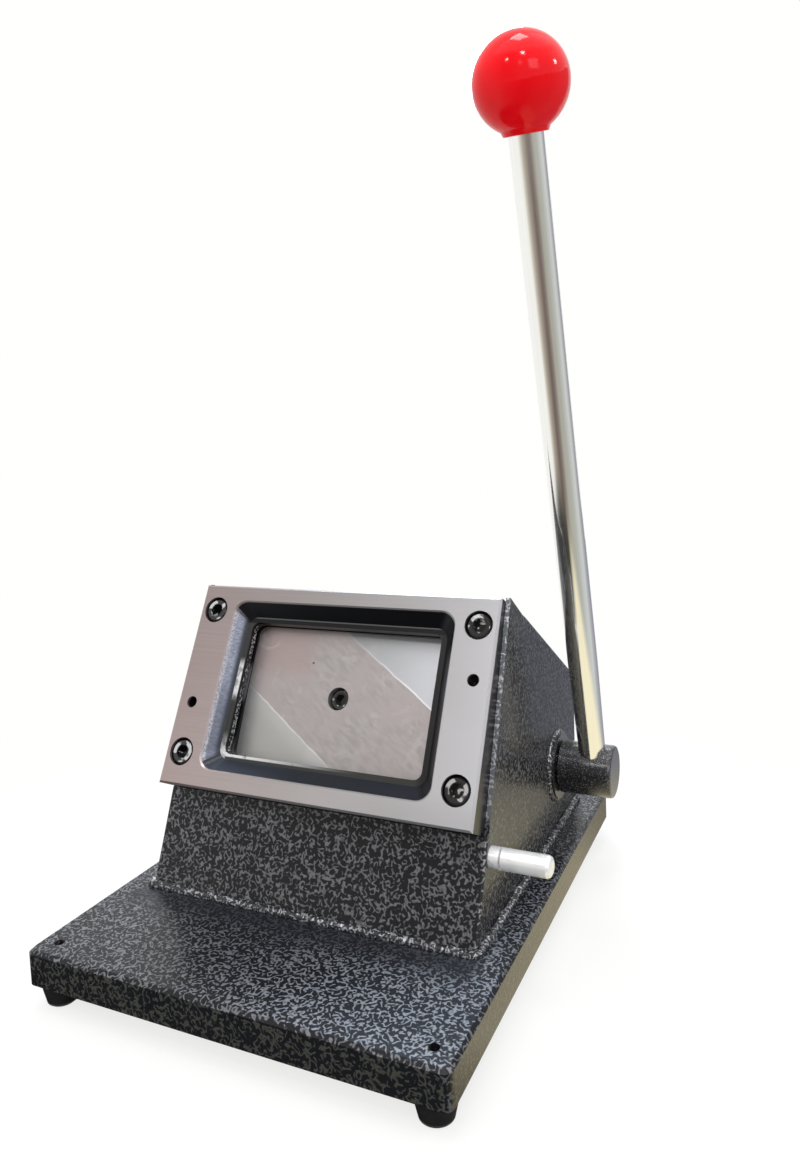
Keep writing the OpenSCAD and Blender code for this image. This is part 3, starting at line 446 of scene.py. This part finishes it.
def window_ledge(f, u, v):
    """The dark step inside the bevel, with painted shade at its top and right, painted highlights
    on its lower and left rims and a painted light line on top.
    """
    lower_rim_highlight = f.times(f.within(v, 0.0138, 0.0150, 0.0004), f.span(u, -0.041, 0.020, 1.0, 0.0))
    heights = f.maths("MAXIMUM", f.within(v, 0.040, 0.049, 0.005),
                      f.span(v, 0.014, 0.024, 0.9, 0.0))
    left_rim_highlight = f.times(f.span(u, -0.0425, -0.0415, 1.0, 0.0), heights)
    patchy = f.span(f.noise(300), 0.30, 0.50, 0.4, 1.0)
    # Painted shade at the right and top, and a painted light line along the top.
    tone = f.mix(f.span(u, 0.040, 0.044), (0.055, 0.058, 0.055), (0.030, 0.030, 0.032))
    tone = f.mix(f.span(v, 0.0680, 0.0686), tone, (0.018, 0.019, 0.021))
    tone = f.mix(f.within(v, 0.0704, 0.0712, 0.0002), tone, (0.100, 0.103, 0.105))
    # Painted highlights on the lower and left rims.
    lit = f.maths("MAXIMUM", lower_rim_highlight, left_rim_highlight)
    return f.mix(f.times(lit, patchy), tone, (0.80, 0.82, 0.85))


def rough_cut(f, u, depth):
    """The opening's wall: painted near black for its shade, with torn bright teeth at the left."""
    torn = f.span(f.grain((0.0012, 0.0012, 0.0007), distortion=0.5), 0.50, 0.60)
    teeth = f.times(torn, f.within(depth, 0.0076, 0.0099, 0.0005),
                    f.span(u, -0.040, -0.038, 1.0, 0.0))
    return f.mix(teeth, (0.008, 0.008, 0.009), (0.45, 0.46, 0.47))


def punch_steel():
    """Punch: warm brushed steel, faint grinding marks and stains; painted reflection makes two
    bevelled corners lighter, painted highlights line their creases.

    The bevelled corners begin at a crease to either side of its middle, measured across.
    """
    f = Finish("punch_steel", Metallic=0.8)
    u, v = on_plate(f)
    v = f.maths("SUBTRACT", v, PUNCH_MIDDLE)
    cut_height, cut_width = 29.5, 44.8
    slant = math.atan2(cut_height, cut_width)
    across = f.maths("ADD", f.maths("MULTIPLY", u, math.sin(slant)),
                     f.maths("MULTIPLY", v, math.cos(slant)))
    crease = 0.02144
    sharp = 0.0001
    glow = 0.0003
    marks = f.grain((0.03, 0.0016, 0.0016), 3.0, turn=(0, 38, 0))
    brushed = f.grain((0.04, 0.0016, 0.0016), turn=(0, -12, 0))
    cloud = f.noise(38, 3.0, 0.6)
    stains = f.noise(75, 3.0, 1.6)

    tone = f.mix(f.span(marks, 0.3, 0.7), (0.355, 0.334, 0.334), (0.425, 0.400, 0.400))
    tone = f.mix(f.span(cloud, 0.42, 0.66), tone, (0.420, 0.380, 0.380))
    upper_left = f.times(f.within(u, -0.040, -0.020, 0.010), f.within(v, 0.012, 0.024, 0.008))
    tone = f.mix(upper_left, tone, f.mix(0.4, tone, (0.38, 0.27, 0.255)))
    tone = f.mix(f.span(stains, 0.58, 0.68, 0.0, 0.55), tone, (0.49, 0.455, 0.45))

    # Painted reflection: the upper bevelled corner is paler and bluish towards the right.
    upper = f.mix(f.span(u, 0.006, 0.042), (0.36, 0.37, 0.38), (0.50, 0.515, 0.545))
    upper = f.mix(f.span(cloud, 0.40, 0.62, 0.0, 0.35), upper, (0.46, 0.47, 0.49))
    tone = f.mix(f.span(across, crease - sharp, crease + sharp), tone, upper)
    # Painted reflection: the lower bevelled corner is paler.
    lower = f.mix(f.span(across, -0.030, -0.0215), (0.44, 0.44, 0.43), (0.53, 0.53, 0.53))
    lower = f.mix(f.span(cloud, 0.40, 0.62, 0.0, 0.30), lower, (0.40, 0.39, 0.38))
    tone = f.mix(f.span(across, -crease - sharp, -crease + sharp, 1.0, 0.0), tone, lower)

    # Painted highlights along both creases.
    near = f.maths("ADD", across, f.span(f.noise(160), 0.3, 0.7, -0.00022, 0.00022))
    upper_ridge_highlight = f.times(f.within(near, crease - sharp, crease + glow, glow),
                          f.span(u, 0.002, 0.034, 0.2, 0.75))
    tone = f.mix(upper_ridge_highlight, tone, (0.74, 0.74, 0.77))
    lower_ridge_highlight = f.times(f.within(near, -crease - glow, -crease + sharp, glow),
                          f.span(f.noise(90, 1.0), 0.35, 0.55, 0.2, 0.7))
    tone = f.mix(lower_ridge_highlight, tone, (0.70, 0.69, 0.69))
    specks = f.times(f.span(f.dots(150), 0.05, 0.10, 1.0, 0.0), f.span(f.noise(60), 0.60, 0.66))
    f.paint("Base Color", f.mix(specks, tone, (0.12, 0.105, 0.10)))
    f.paint("Roughness", f.span(brushed, 0.3, 0.7, 0.36, 0.44))
    f.relief((marks, 0.00001, 0.12), (stains, 0.00003, 0.15), flat=True)
    return f.material


def turned_steel(name, low, high, rough):
    """Plain machined metal: two tones of one grain, a little staining."""
    f = Finish(name, Metallic=0.9)
    lines = f.grain((0.02, 0.0012, 0.0012), 3.0)
    stains = f.noise(55, 3.0, 0.4)
    tone = f.mix(f.span(lines, 0.3, 0.7), low, high)
    f.paint("Base Color", f.mix(f.span(stains, 0.5, 0.8, 0.0, 0.6), tone, shaded(low, 0.72)))
    f.paint("Roughness", f.span(stains, 0.3, 0.7, rough, rough + 0.12))
    f.relief((lines, 0.00002, 0.3))
    return f.material


def socket_heads(name, side, middle, rise, wear_and_highlights):
    """Blackened screws in the die set's face: sockets and head rims painted black as shade, painted
    highlights as bright patches and dots.

    Their middles lie at side to the left and right, and rise above and below a middle height.
    """
    f = Finish(name, Metallic=0.9, Coat_Weight=0.8, Coat_Roughness=0.06)
    hole_radius, rim_radius = 0.0025, 0.0041
    u, v = on_plate(f)
    u = f.maths("SUBTRACT", f.maths("ABSOLUTE", u), side)
    v = f.maths("SUBTRACT", f.maths("ABSOLUTE", f.maths("SUBTRACT", v, middle)), rise)
    out = f.maths("SQRT", f.maths("ADD", f.maths("MULTIPLY", u, u), f.maths("MULTIPLY", v, v)))
    # Painted highlights: bright patches on the heads and dots in the sockets.
    highlight_patch = f.span(f.noise(300, 1.0), 0.68 - wear_and_highlights, 0.78 - wear_and_highlights)
    glint = f.span(f.noise(520, 0.0), 0.84 - wear_and_highlights, 0.90 - wear_and_highlights)
    socket = f.mix(glint, (0.004, 0.004, 0.005), (0.60, 0.62, 0.65))
    tone = f.mix(highlight_patch, (0.030, 0.031, 0.034), (0.62, 0.64, 0.67))
    # Painted shade: a dark ring round each head.
    tone = f.mix(f.span(out, rim_radius, 0.0045), tone, (0.014, 0.014, 0.016))
    # Painted shade: black sockets.
    f.paint("Base Color", f.mix(f.span(out, hole_radius, 0.0030, 1.0, 0.0), tone, socket))
    f.paint("Roughness", f.span(highlight_patch, 0.0, 1.0, 0.12, 0.22))
    return f.material


def black_oxide(name, rub):
    """Blackened screw steel, glossy on the rim, rubbed where the key turns it."""
    f = Finish(name, Metallic=0.95, Coat_Weight=0.8, Coat_Roughness=0.06)
    wear_and_highlights = f.span(f.noise(900), 0.45, 0.65)
    f.paint("Base Color", f.mix(wear_and_highlights, shaded(rub, 0.4), rub))
    f.paint("Roughness", f.span(wear_and_highlights, 0.0, 1.0, 0.10, 0.16))
    return f.material


def chrome():
    """Chromed drawn bar: very fine lines along the bar and a few dull wipes."""
    f = Finish("chrome", Metallic=1.0)
    lines = f.grain((0.0005, 0.0005, 0.06), turn=(LEVER_LEAN, 0, 0))
    wipes = f.noise(22, 3.0, 0.5)
    tone = f.mix(f.span(lines, 0.3, 0.7), (0.87, 0.865, 0.845), (0.92, 0.915, 0.895))
    f.paint("Base Color", tone)
    f.paint("Roughness", f.span(wipes, 0.35, 0.75, 0.12, 0.18))
    return f.material


def satin_pin():
    """Bright satin pin, a little worn, with a groove close to its end painted dark for its shade.
    """
    f = Finish("satin_pin", Metallic=0.45)
    wear = f.noise(140)
    tone = f.mix(f.span(wear, 0.3, 0.7), (0.90, 0.91, 0.90), (0.97, 0.97, 0.96))
    # Painted shade: a dark ring in the groove.
    groove_shade = f.within(f.along(RIGHT, (WALL_RIGHT, 0, 0)), 0.0039, 0.0041, 0.0002)
    f.paint("Base Color", f.mix(groove_shade, tone, (0.05, 0.05, 0.05)))
    f.paint("Roughness", f.span(wear, 0.3, 0.7, 0.26, 0.34))
    return f.material


def red_plastic():
    """Glossy red moulded plastic with a faint ripple and fine handling marks."""
    f = Finish("red_plastic", Specular_IOR_Level=0.20)
    cloud = f.noise(90)
    scuffs = f.span(f.grain((0.004, 0.0006, 0.004), turn=(25, 40, 0)), 0.62, 0.72)
    f.paint("Base Color", f.mix(cloud, (0.90, 0.0015, 0.006), (0.97, 0.0025, 0.009)))
    f.paint("Roughness", f.span(scuffs, 0.0, 1.0, 0.10, 0.22))
    f.relief((cloud, 0.00010, 0.08))
    return f.material


def rubber():
    """Dull black rubber with a fine speckle."""
    f = Finish("foot_rubber", Specular_IOR_Level=0.25)
    speck = f.noise(900, 3.0)
    f.paint("Base Color", f.mix(speck, (0.009, 0.009, 0.010), (0.024, 0.023, 0.023)))
    f.paint("Roughness", f.span(f.noise(120), 0.3, 0.7, 0.48, 0.66))
    f.relief((speck, 0.0001, 0.4))
    return f.material


# The part's material slots
FINISHES = {
    "hammertone": hammered_paint(
        "hammered_paint", size=1.0, dark=(0.0100, 0.0105, 0.0128), pale=(0.195, 0.203, 0.223),
        share=0.18, gloss=0.10),
    "die_steel": ground_plate(),
    "steel": turned_steel("machined_steel", (0.36, 0.36, 0.37), (0.47, 0.47, 0.48), 0.30),
    "black_steel": black_oxide("black_oxide", (0.15, 0.15, 0.155)),
    "chrome": chrome(),
    "zinc": turned_steel("zinc_plate", (0.50, 0.51, 0.53), (0.62, 0.63, 0.65), 0.28),
    "bronze": turned_steel("bearing_bronze", (0.36, 0.20, 0.08), (0.46, 0.27, 0.12), 0.32),
    "brass": turned_steel("brass", (0.55, 0.38, 0.13), (0.66, 0.47, 0.18), 0.26),
    "red_plastic": red_plastic(),
    "rubber": rubber(),
}

# Finishes of single pieces
SKIN_PAINT = hammered_paint(
    "housing_paint", size=1.0, dark=(0.0100, 0.0100, 0.0120), pale=(0.185, 0.188, 0.200),
    share=0.18, gloss=0.10, lit=Vector((0.707, -0.650, 0.279)))
BASE_PAINT = hammered_paint(
    "base_paint", size=1.0, dark=(0.0100, 0.0105, 0.0128), pale=(0.190, 0.197, 0.215),
    share=0.18, gloss=0.10, glint=Vector((0.8, -0.6, 0)))
FINE_PAINT = hammered_paint(
    "fine_hammered_paint", size=1.8, dark=(0.008, 0.009, 0.011), pale=(0.12, 0.125, 0.13),
    share=0.06, gloss=1.0)
WELD_PAINT = hammered_paint(
    "painted_weld", size=1.1, dark=(0.018, 0.019, 0.022), pale=(0.40, 0.41, 0.43),
    share=0.16, gloss=0.5)
SPECIAL = {
    "punch": punch_steel(),
    "punch_screw": socket_heads(
        "punch_screw_black", side=0.0, middle=PUNCH_MIDDLE, rise=0.0, wear_and_highlights=0.06),
    "die_screws": socket_heads(
        "die_screws_black", side=SCREW_SIDE, middle=SCREW_MIDDLE, rise=SCREW_RISE, wear_and_highlights=0.18),
    # Dowel pins deep in their holes: near black as painted shade.
    "dowel_pins": black_oxide("dowel_shade_black", (0.012, 0.012, 0.013)),
    "stop_pin": satin_pin(),
    "base_plate": BASE_PAINT,
    "lever_hub": FINE_PAINT,
    "boss_left": FINE_PAINT,
    "boss_right": FINE_PAINT,
}


def finish_cad():
    """Gives every CAD node the finish of its material slot, or its own."""
    for name, piece in cad.items():
        for place in piece.material_slots:
            slot = place.material.name.split(".")[0]
            place.material = SPECIAL.get(name) or FINISHES[slot]


# New pieces

def object_from(name, mesh, material):
    """An object at the origin from a bmesh."""
    data = bpy.data.meshes.new(name)
    mesh.to_mesh(data)
    mesh.free()
    data.materials.append(material)
    made = bpy.data.objects.new(name, data)
    scene.collection.objects.link(made)
    return made


def piece_from(name, mesh, material, smooth=True):
    """A finished piece from a bmesh, with whole seams and outward faces."""
    bmesh.ops.remove_doubles(mesh, verts=mesh.verts, dist=1e-6)
    bmesh.ops.recalc_face_normals(mesh, faces=mesh.faces)
    made = object_from(name, mesh, material)
    if smooth:
        faces = made.data.polygons
        faces.foreach_set("use_smooth", [True] * len(faces))
    return made


def spun(profile, middle, axis, steps):
    """A closed turned shape: profile of (radius, along) points, spun about an axis."""
    mesh = bmesh.new()
    side = axis.orthogonal().normalized()
    points = [mesh.verts.new(middle + side * radius + axis * reach) for radius, reach in profile]
    edges = [mesh.edges.new(pair) for pair in zip(points, points[1:])]
    bmesh.ops.spin(mesh, geom=points + edges, cent=middle, axis=axis, angle=math.tau,
                   steps=steps, use_merge=True)
    return mesh


def housing_outline():
    """The housing from the side: (y, z) from the front foot over the top to the rear foot."""
    lean = math.tan(math.radians(FACE_LEAN))
    panel_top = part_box("front_panel")[1].z
    roof_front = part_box("roof_panel")[1].z
    top_y = HOUSING_FRONT + (HOUSING_TOP - BASE_TOP) * lean
    fall = (HOUSING_TOP - ROOF_REAR) / (HOUSING_REAR - top_y)
    return [
        (HOUSING_FRONT, BASE_TOP),
        (HOUSING_FRONT + (panel_top - BASE_TOP) * lean, panel_top),
        (top_y, HOUSING_TOP),
        (top_y + (HOUSING_TOP - roof_front) / fall, roof_front),
        (HOUSING_REAR, ROOF_REAR),
        (HOUSING_REAR, BASE_TOP),
    ]


def housing():
    """The welded housing as one painted skin: walls, front and roof with rounded corners."""
    outline = housing_outline()
    mesh = bmesh.new()
    wall = mesh.faces.new([mesh.verts.new((WALL_LEFT, y, z)) for y, z in outline])
    out = bmesh.ops.extrude_face_region(mesh, geom=[wall], use_keep_orig=True)["geom"]
    moved = [part for part in out if isinstance(part, bmesh.types.BMVert)]
    bmesh.ops.translate(mesh, verts=moved, vec=(WALL_RIGHT - WALL_LEFT, 0, 0))
    mesh.normal_update()

    def spans(face, a, b):
        """True for the strip between two outline points."""
        seen = {(round(v.co.y, 6), round(v.co.z, 6)) for v in face.verts}
        return seen == {tuple(round(c, 6) for c in outline[i]) for i in (a, b)}

    open_strips = [(1, 2), (2, 3), (4, 5), (5, 0)]
    opened = [face for face in mesh.faces if any(spans(face, *strip) for strip in open_strips)]
    bmesh.ops.delete(mesh, geom=opened, context="FACES")
    bmesh.ops.recalc_face_normals(mesh, faces=mesh.faces)
    outward = sum(f.normal.x * (f.calc_center_median().x - MIDDLE) for f in mesh.faces)
    if outward < 0:
        bmesh.ops.reverse_faces(mesh, faces=mesh.faces)
    corners = [e for e in mesh.edges if len(e.link_faces) == 2 and e.calc_face_angle() > 0.5]
    bmesh.ops.bevel(mesh, geom=corners, offset=0.0012, segments=4, profile=0.5, affect="EDGES",
                    material=-1, clamp_overlap=True)
    made = object_from("housing_skin", mesh, SKIN_PAINT)
    sheet = made.modifiers.new("sheet", "SOLIDIFY")
    sheet.thickness = SHEET
    sheet.offset = -1
    sheet.use_even_offset = True
    edge = made.modifiers.new("edge", "BEVEL")
    edge.width = 0.0004
    edge.segments = 2
    edge.limit_method = "ANGLE"
    edge.angle_limit = math.radians(50)
    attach(made, "frame")
    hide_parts("side_wall_left", "side_wall_right", "front_panel", "roof_panel")


def weld(name, route, radius, seed, closed=False):
    """A rippled weld bead along a route of points: a crest at each pitch, and a slow swell."""
    pitch = 0.0013
    up = RIGHT if closed else UP
    rng = random.Random(seed)
    mesh = bmesh.new()
    ring = bmesh.ops.create_circle(mesh, segments=12, radius=1.0, cap_ends=not closed)["verts"]
    loop = list(mesh.edges)
    first_ring = list(ring)

    def standing(i):
        """The place and turn of the bead's ring at a point of the route."""
        before = route[i - 1] if i or closed else route[0]
        after = route[(i + 1) % len(route)] if i + 1 < len(route) or closed else route[-1]
        along = (after - before).normalized()
        side = up.cross(along).normalized()
        place = Matrix((side, along.cross(side), along)).transposed().to_4x4()
        place.translation = route[i]
        return place

    travelled = 0.0
    swell = 0.0
    last = None
    for i, point in enumerate(route):
        if i:
            travelled += (point - route[i - 1]).length
        swell = 0.85 * swell + 0.15 * rng.uniform(-1, 1)
        crest = abs(math.sin(math.pi * travelled / pitch))
        size = radius * (0.90 + 0.12 * crest + 0.16 * swell)
        place = standing(i) @ Matrix.Diagonal((size, size, size, 1))
        if last is None:
            bmesh.ops.transform(mesh, matrix=place, verts=ring)
        else:
            out = bmesh.ops.extrude_edge_only(mesh, edges=loop)["geom"]
            ring = [part for part in out if isinstance(part, bmesh.types.BMVert)]
            loop = [part for part in out if isinstance(part, bmesh.types.BMEdge)
                    and all(v in ring for v in part.verts)]
            bmesh.ops.transform(mesh, matrix=place @ last.inverted(), verts=ring)
        last = place
    if closed:
        first_loop = [e for e in mesh.edges if all(v in first_ring for v in e.verts)]
        bmesh.ops.bridge_loops(mesh, edges=loop + first_loop)
    else:
        bmesh.ops.contextual_create(mesh, geom=loop)
    made = piece_from(name, mesh, WELD_PAINT, smooth=False)
    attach(made, "frame")
    return made


def line_of(points, step):
    """Evenly spaced points along straight runs."""
    made = []
    for a, b in zip(points, points[1:]):
        count = max(1, round((b - a).length / step))
        made += [a.lerp(b, i / count) for i in range(count)]
    return made + [points[-1]]


def foot_weld():
    """The bead that joins the housing to the base plate, round its front corners."""
    out = 0.0006
    turn = 0.0022
    left, right = WALL_LEFT - out, WALL_RIGHT + out
    front, rear = HOUSING_FRONT - out, HOUSING_REAR - 0.002
    z = BASE_TOP + 0.0004
    quarter = [math.pi / 2 * i / 6 for i in range(7)]
    left_corner = [Vector((left + turn * (1 - math.cos(a)), front + turn * (1 - math.sin(a)), z))
                   for a in quarter]
    right_corner = [Vector((WALL_LEFT + WALL_RIGHT - p.x, p.y, z)) for p in reversed(left_corner)]
    run = [Vector((left, rear, z)), *left_corner, *right_corner, Vector((right, rear, z))]
    bead = weld("foot_weld", line_of(run, 0.00045), 0.0019, seed=3)
    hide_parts("weld_bead")


def boss_welds():
    """Rings of weld where the shaft's bosses meet the walls."""
    ring = 0.0141
    count = 160
    turns = [math.tau * i / count for i in range(count)]
    for name, x in (("boss_weld_left", WALL_LEFT), ("boss_weld_right", WALL_RIGHT)):
        route = [Vector((x, PIVOT.y + ring * math.cos(a), PIVOT.z + ring * math.sin(a)))
                 for a in turns]
        weld(name, route, 0.0014, seed=7, closed=True)


def ball():
    """The red knob with its short collar and the bore for its insert."""
    along = leaning(-LEVER_LEAN)[1]
    middle = Vector((ROD_X, PIVOT.y, PIVOT.z)) + along * LEVER_LENGTH
    start = -0.0153
    deep = start + 0.0155
    bore = 0.00505
    collar = 0.0077
    soft = 0.0004
    profile = [(0.0, deep), (bore, deep), (bore, start), (collar - soft, start),
               (collar - soft * 0.3, start + soft * 0.3), (collar, start + soft)]
    meet = -math.sqrt(BALL_RADIUS ** 2 - collar ** 2) + 0.0003
    first = math.acos(meet / BALL_RADIUS)
    count = 44
    for i in range(count):
        a = first * (1 - i / count)
        profile.append((BALL_RADIUS * math.sin(a), BALL_RADIUS * math.cos(a)))
    profile.append((0.0, BALL_RADIUS))
    mesh = spun(profile, middle, along, 96)
    made = piece_from("red_ball", mesh, FINISHES["red_plastic"])
    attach(made, "lever")
    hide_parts("ball_knob")


def spring():
    """The return spring as a fixed zinc copy of its CAD node; on the machine its upper hook stays
    on the tie bar and its lower goes with the crank.
    """
    mesh = bmesh.new()
    mesh.from_mesh(cad["return_spring"].data)
    made = piece_from("coil_spring", mesh, FINISHES["zinc"])
    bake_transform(made)
    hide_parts("return_spring")


# Studio

def mirrored_only(made):
    """Keeps a card out of the camera's view and out of the light: only gloss shows it."""
    made.visible_camera = False
    made.visible_diffuse = False
    made.visible_shadow = False
    made.visible_volume_scatter = False


def glowing(name):
    """A material that gives off its colour, and the socket for that colour."""
    f = Finish(name)
    f.tree.nodes.remove(f.shader)
    glow = f.node("ShaderNodeEmission")
    f.join(glow.outputs[0], f.surface)
    return f, glow.inputs["Color"]


def floor():
    """White floor that keeps the machine's shadow."""
    mesh = bmesh.new()
    bmesh.ops.create_grid(mesh, x_segments=1, y_segments=1, size=6)
    f = Finish("pale_floor", Roughness=0.9)
    seen = f.seen()
    f.paint("Base Color", f.mix(seen, (0.50, 0.50, 0.49), (0.95, 0.95, 0.94)))
    glow = f.node("ShaderNodeEmission")
    glow.inputs["Color"].default_value = (1.0, 1.0, 0.985, 1.0)
    far = f.span(f.away(), 0.12, 0.30, 0.78, 1.0)
    f.join(f.blend(f.times(seen, far), f.shader, glow), f.surface)
    object_from("floor", mesh, f.material)


# What bright metal mirrors, round the machine from this turn to that one, in degrees
ROOM_START = -60
ROOM_END = 150


def around(f):
    """Height, angle from the front towards the right, and its share of the mirrored room."""
    split = f.node("ShaderNodeSeparateXYZ")
    f.join(f.place, split.inputs[0])
    turn = f.maths("ARCTAN2", split.outputs[0], f.maths("MULTIPLY", split.outputs[1], -1.0))
    part = f.span(turn, math.radians(ROOM_START), math.radians(ROOM_END), smooth=False)
    return split.outputs[2], turn, part


def low_tones(f, part):
    """The room's brightness low down, from left of the camera round to behind the machine."""
    return f.ramp(part, (0.0, (1.0, 1.0, 0.98)), (0.09, (1.0, 0.99, 0.95)),
                  (0.17, (0.66, 0.63, 0.55)), (0.25, (0.41, 0.365, 0.31)),
                  (0.33, (0.30, 0.25, 0.21)), (0.405, (0.165, 0.125, 0.11)),
                  (0.48, (0.24, 0.20, 0.18)), (0.56, (0.44, 0.43, 0.37)),
                  (0.65, (0.46, 0.47, 0.42)), (0.74, (0.57, 0.585, 0.585)),
                  (0.82, (0.66, 0.685, 0.67)), (0.92, (0.40, 0.40, 0.44)),
                  (1.0, (0.33, 0.34, 0.40)))


def wall_tones(f, part):
    """The room's brightness higher up, over the same range."""
    return f.ramp(part, (0.0, (1.0, 0.98, 0.95)), (0.10, (0.90, 0.87, 0.82)),
                  (0.20, (0.52, 0.48, 0.44)), (0.28, (0.50, 0.45, 0.43)),
                  (0.38, (0.85, 0.78, 0.80)), (0.55, (1.10, 1.00, 1.04)),
                  (0.80, (1.30, 1.20, 1.25)), (1.0, (1.20, 1.15, 1.20)))


def table_tones(f, part):
    """The table's brightness close to the machine, over the same range."""
    return f.ramp(part, (0.0, (0.05, 0.05, 0.045)), (0.44, (0.05, 0.05, 0.045)),
                  (0.53, (1.0, 0.93, 0.68)), (0.9, (1.05, 0.96, 0.68)),
                  (1.0, (0.50, 0.46, 0.38)))


def room():
    """Dome that bright metal mirrors as a room: dark behind the camera, pale at the sides."""
    mesh = bmesh.new()
    bmesh.ops.create_uvsphere(mesh, u_segments=72, v_segments=36, radius=1.35)
    bmesh.ops.translate(mesh, verts=mesh.verts, vec=(0, 0, 0.002))

    def outside(face):
        """True below the floor, and a little beyond the mirrored range."""
        middle = face.calc_center_median()
        turn = math.degrees(math.atan2(middle.x, -middle.y))
        return middle.z < 0 or not ROOM_START - 2 < turn < ROOM_END + 2

    bmesh.ops.delete(mesh, geom=[face for face in mesh.faces if outside(face)], context="FACES")
    f, tone = glowing("room_dome")
    height, turn, part = around(f)
    wall = f.mix(f.span(height, 1.08, 1.20), wall_tones(f, part), (1.8, 1.72, 1.8))
    right_line = f.span(turn, math.radians(15), math.radians(137), 0.0, 0.80, smooth=False)
    left_line = f.span(turn, math.radians(-47), math.radians(15), 0.17, -0.03, smooth=False)
    over = f.maths("SUBTRACT", height, f.maths("ADD", right_line, left_line))
    wall = f.mix(f.within(over, 0.0, 0.02, 0.005), wall, (1.9, 1.8, 1.8))
    f.join(f.mix(f.span(over, -0.006, 0.006), low_tones(f, part), wall), tone)
    dome = object_from("room_dome", mesh, f.material)
    mirrored_only(dome)


def table():
    """Card that bright metal mirrors as the table under the machine."""
    mesh = bmesh.new()
    bmesh.ops.create_grid(mesh, x_segments=1, y_segments=1, size=1.34)
    bmesh.ops.translate(mesh, verts=mesh.verts, vec=(0.0, 0.0, 0.0015))
    f, tone = glowing("table_card")
    part = around(f)[2]
    f.join(f.mix(f.span(f.away(), 0.16, 0.24), table_tones(f, part), low_tones(f, part)), tone)
    card = object_from("table_card", mesh, f.material)
    mirrored_only(card)


def sky():
    """World that lights the machine from above and shows white."""
    world = bpy.data.worlds.new("studio")
    scene.world = world
    world.use_nodes = True
    f = Nodes(world.node_tree)
    split = f.node("ShaderNodeSeparateXYZ")
    f.join(f.node("ShaderNodeTexCoord").outputs["Generated"], split.inputs[0])
    dome = f.node("ShaderNodeBackground")
    dome.inputs["Color"].default_value = (0.94, 0.96, 1.0, 1.0)
    f.join(f.span(split.outputs[2], -0.1, 0.9, 0.32, 0.85, smooth=False), dome.inputs["Strength"])
    white = f.node("ShaderNodeBackground")
    white.inputs["Color"].default_value = (1.0, 1.0, 0.985, 1.0)
    f.join(f.blend(f.seen(), dome, white), f.node("ShaderNodeOutputWorld").inputs["Surface"])


def lamp(name, turn, rise, reach, size, watts, tone=(1, 1, 1)):
    """Square soft lamp at a turn from the front, a height angle and a reach in metres."""
    data = bpy.data.lights.new(name, "AREA")
    data.shape = "SQUARE"
    data.size = size
    data.energy = watts
    data.color = tone
    away = direction(turn, rise)
    made = bpy.data.objects.new(name, data)
    made.location = Vector((0, 0, 0.1)) + away * reach
    made.rotation_euler = (-away).to_track_quat("-Z", "Y").to_euler()
    scene.collection.objects.link(made)
    return made


def lamps():
    """Softboxes, and small ceiling lamps for the highlights."""
    lamp("key_softbox", -40, 68, 1.2, 0.9, 4.5).visible_glossy = False
    lamp("top_softbox", 60, 86, 1.1, 0.28, 2.2)
    lamp("blue_back_softbox", -155, 38, 1.1, 0.40, 4.5, (0.78, 0.88, 1.0))
    lamp("blue_side_softbox", 48, 28, 1.15, 0.35, 1.2, (0.82, 0.91, 1.0))
    ceiling = ((-9, 42, 0.07, 0.7), (29, 50, 0.10, 1.3), (21, 32, 0.05, 0.3), (101, 35, 0.09, 0.9))
    for number, (turn, rise, size, watts) in enumerate(ceiling, 1):
        lamp("ceiling_lamp_%d" % number, turn, rise, 1.05, size, watts)


scene.view_settings.view_transform = "Standard"
place_camera()
finish_cad()
housing()
foot_weld()
boss_welds()
ball()
spring()
floor()
room()
table()
sky()
lamps()
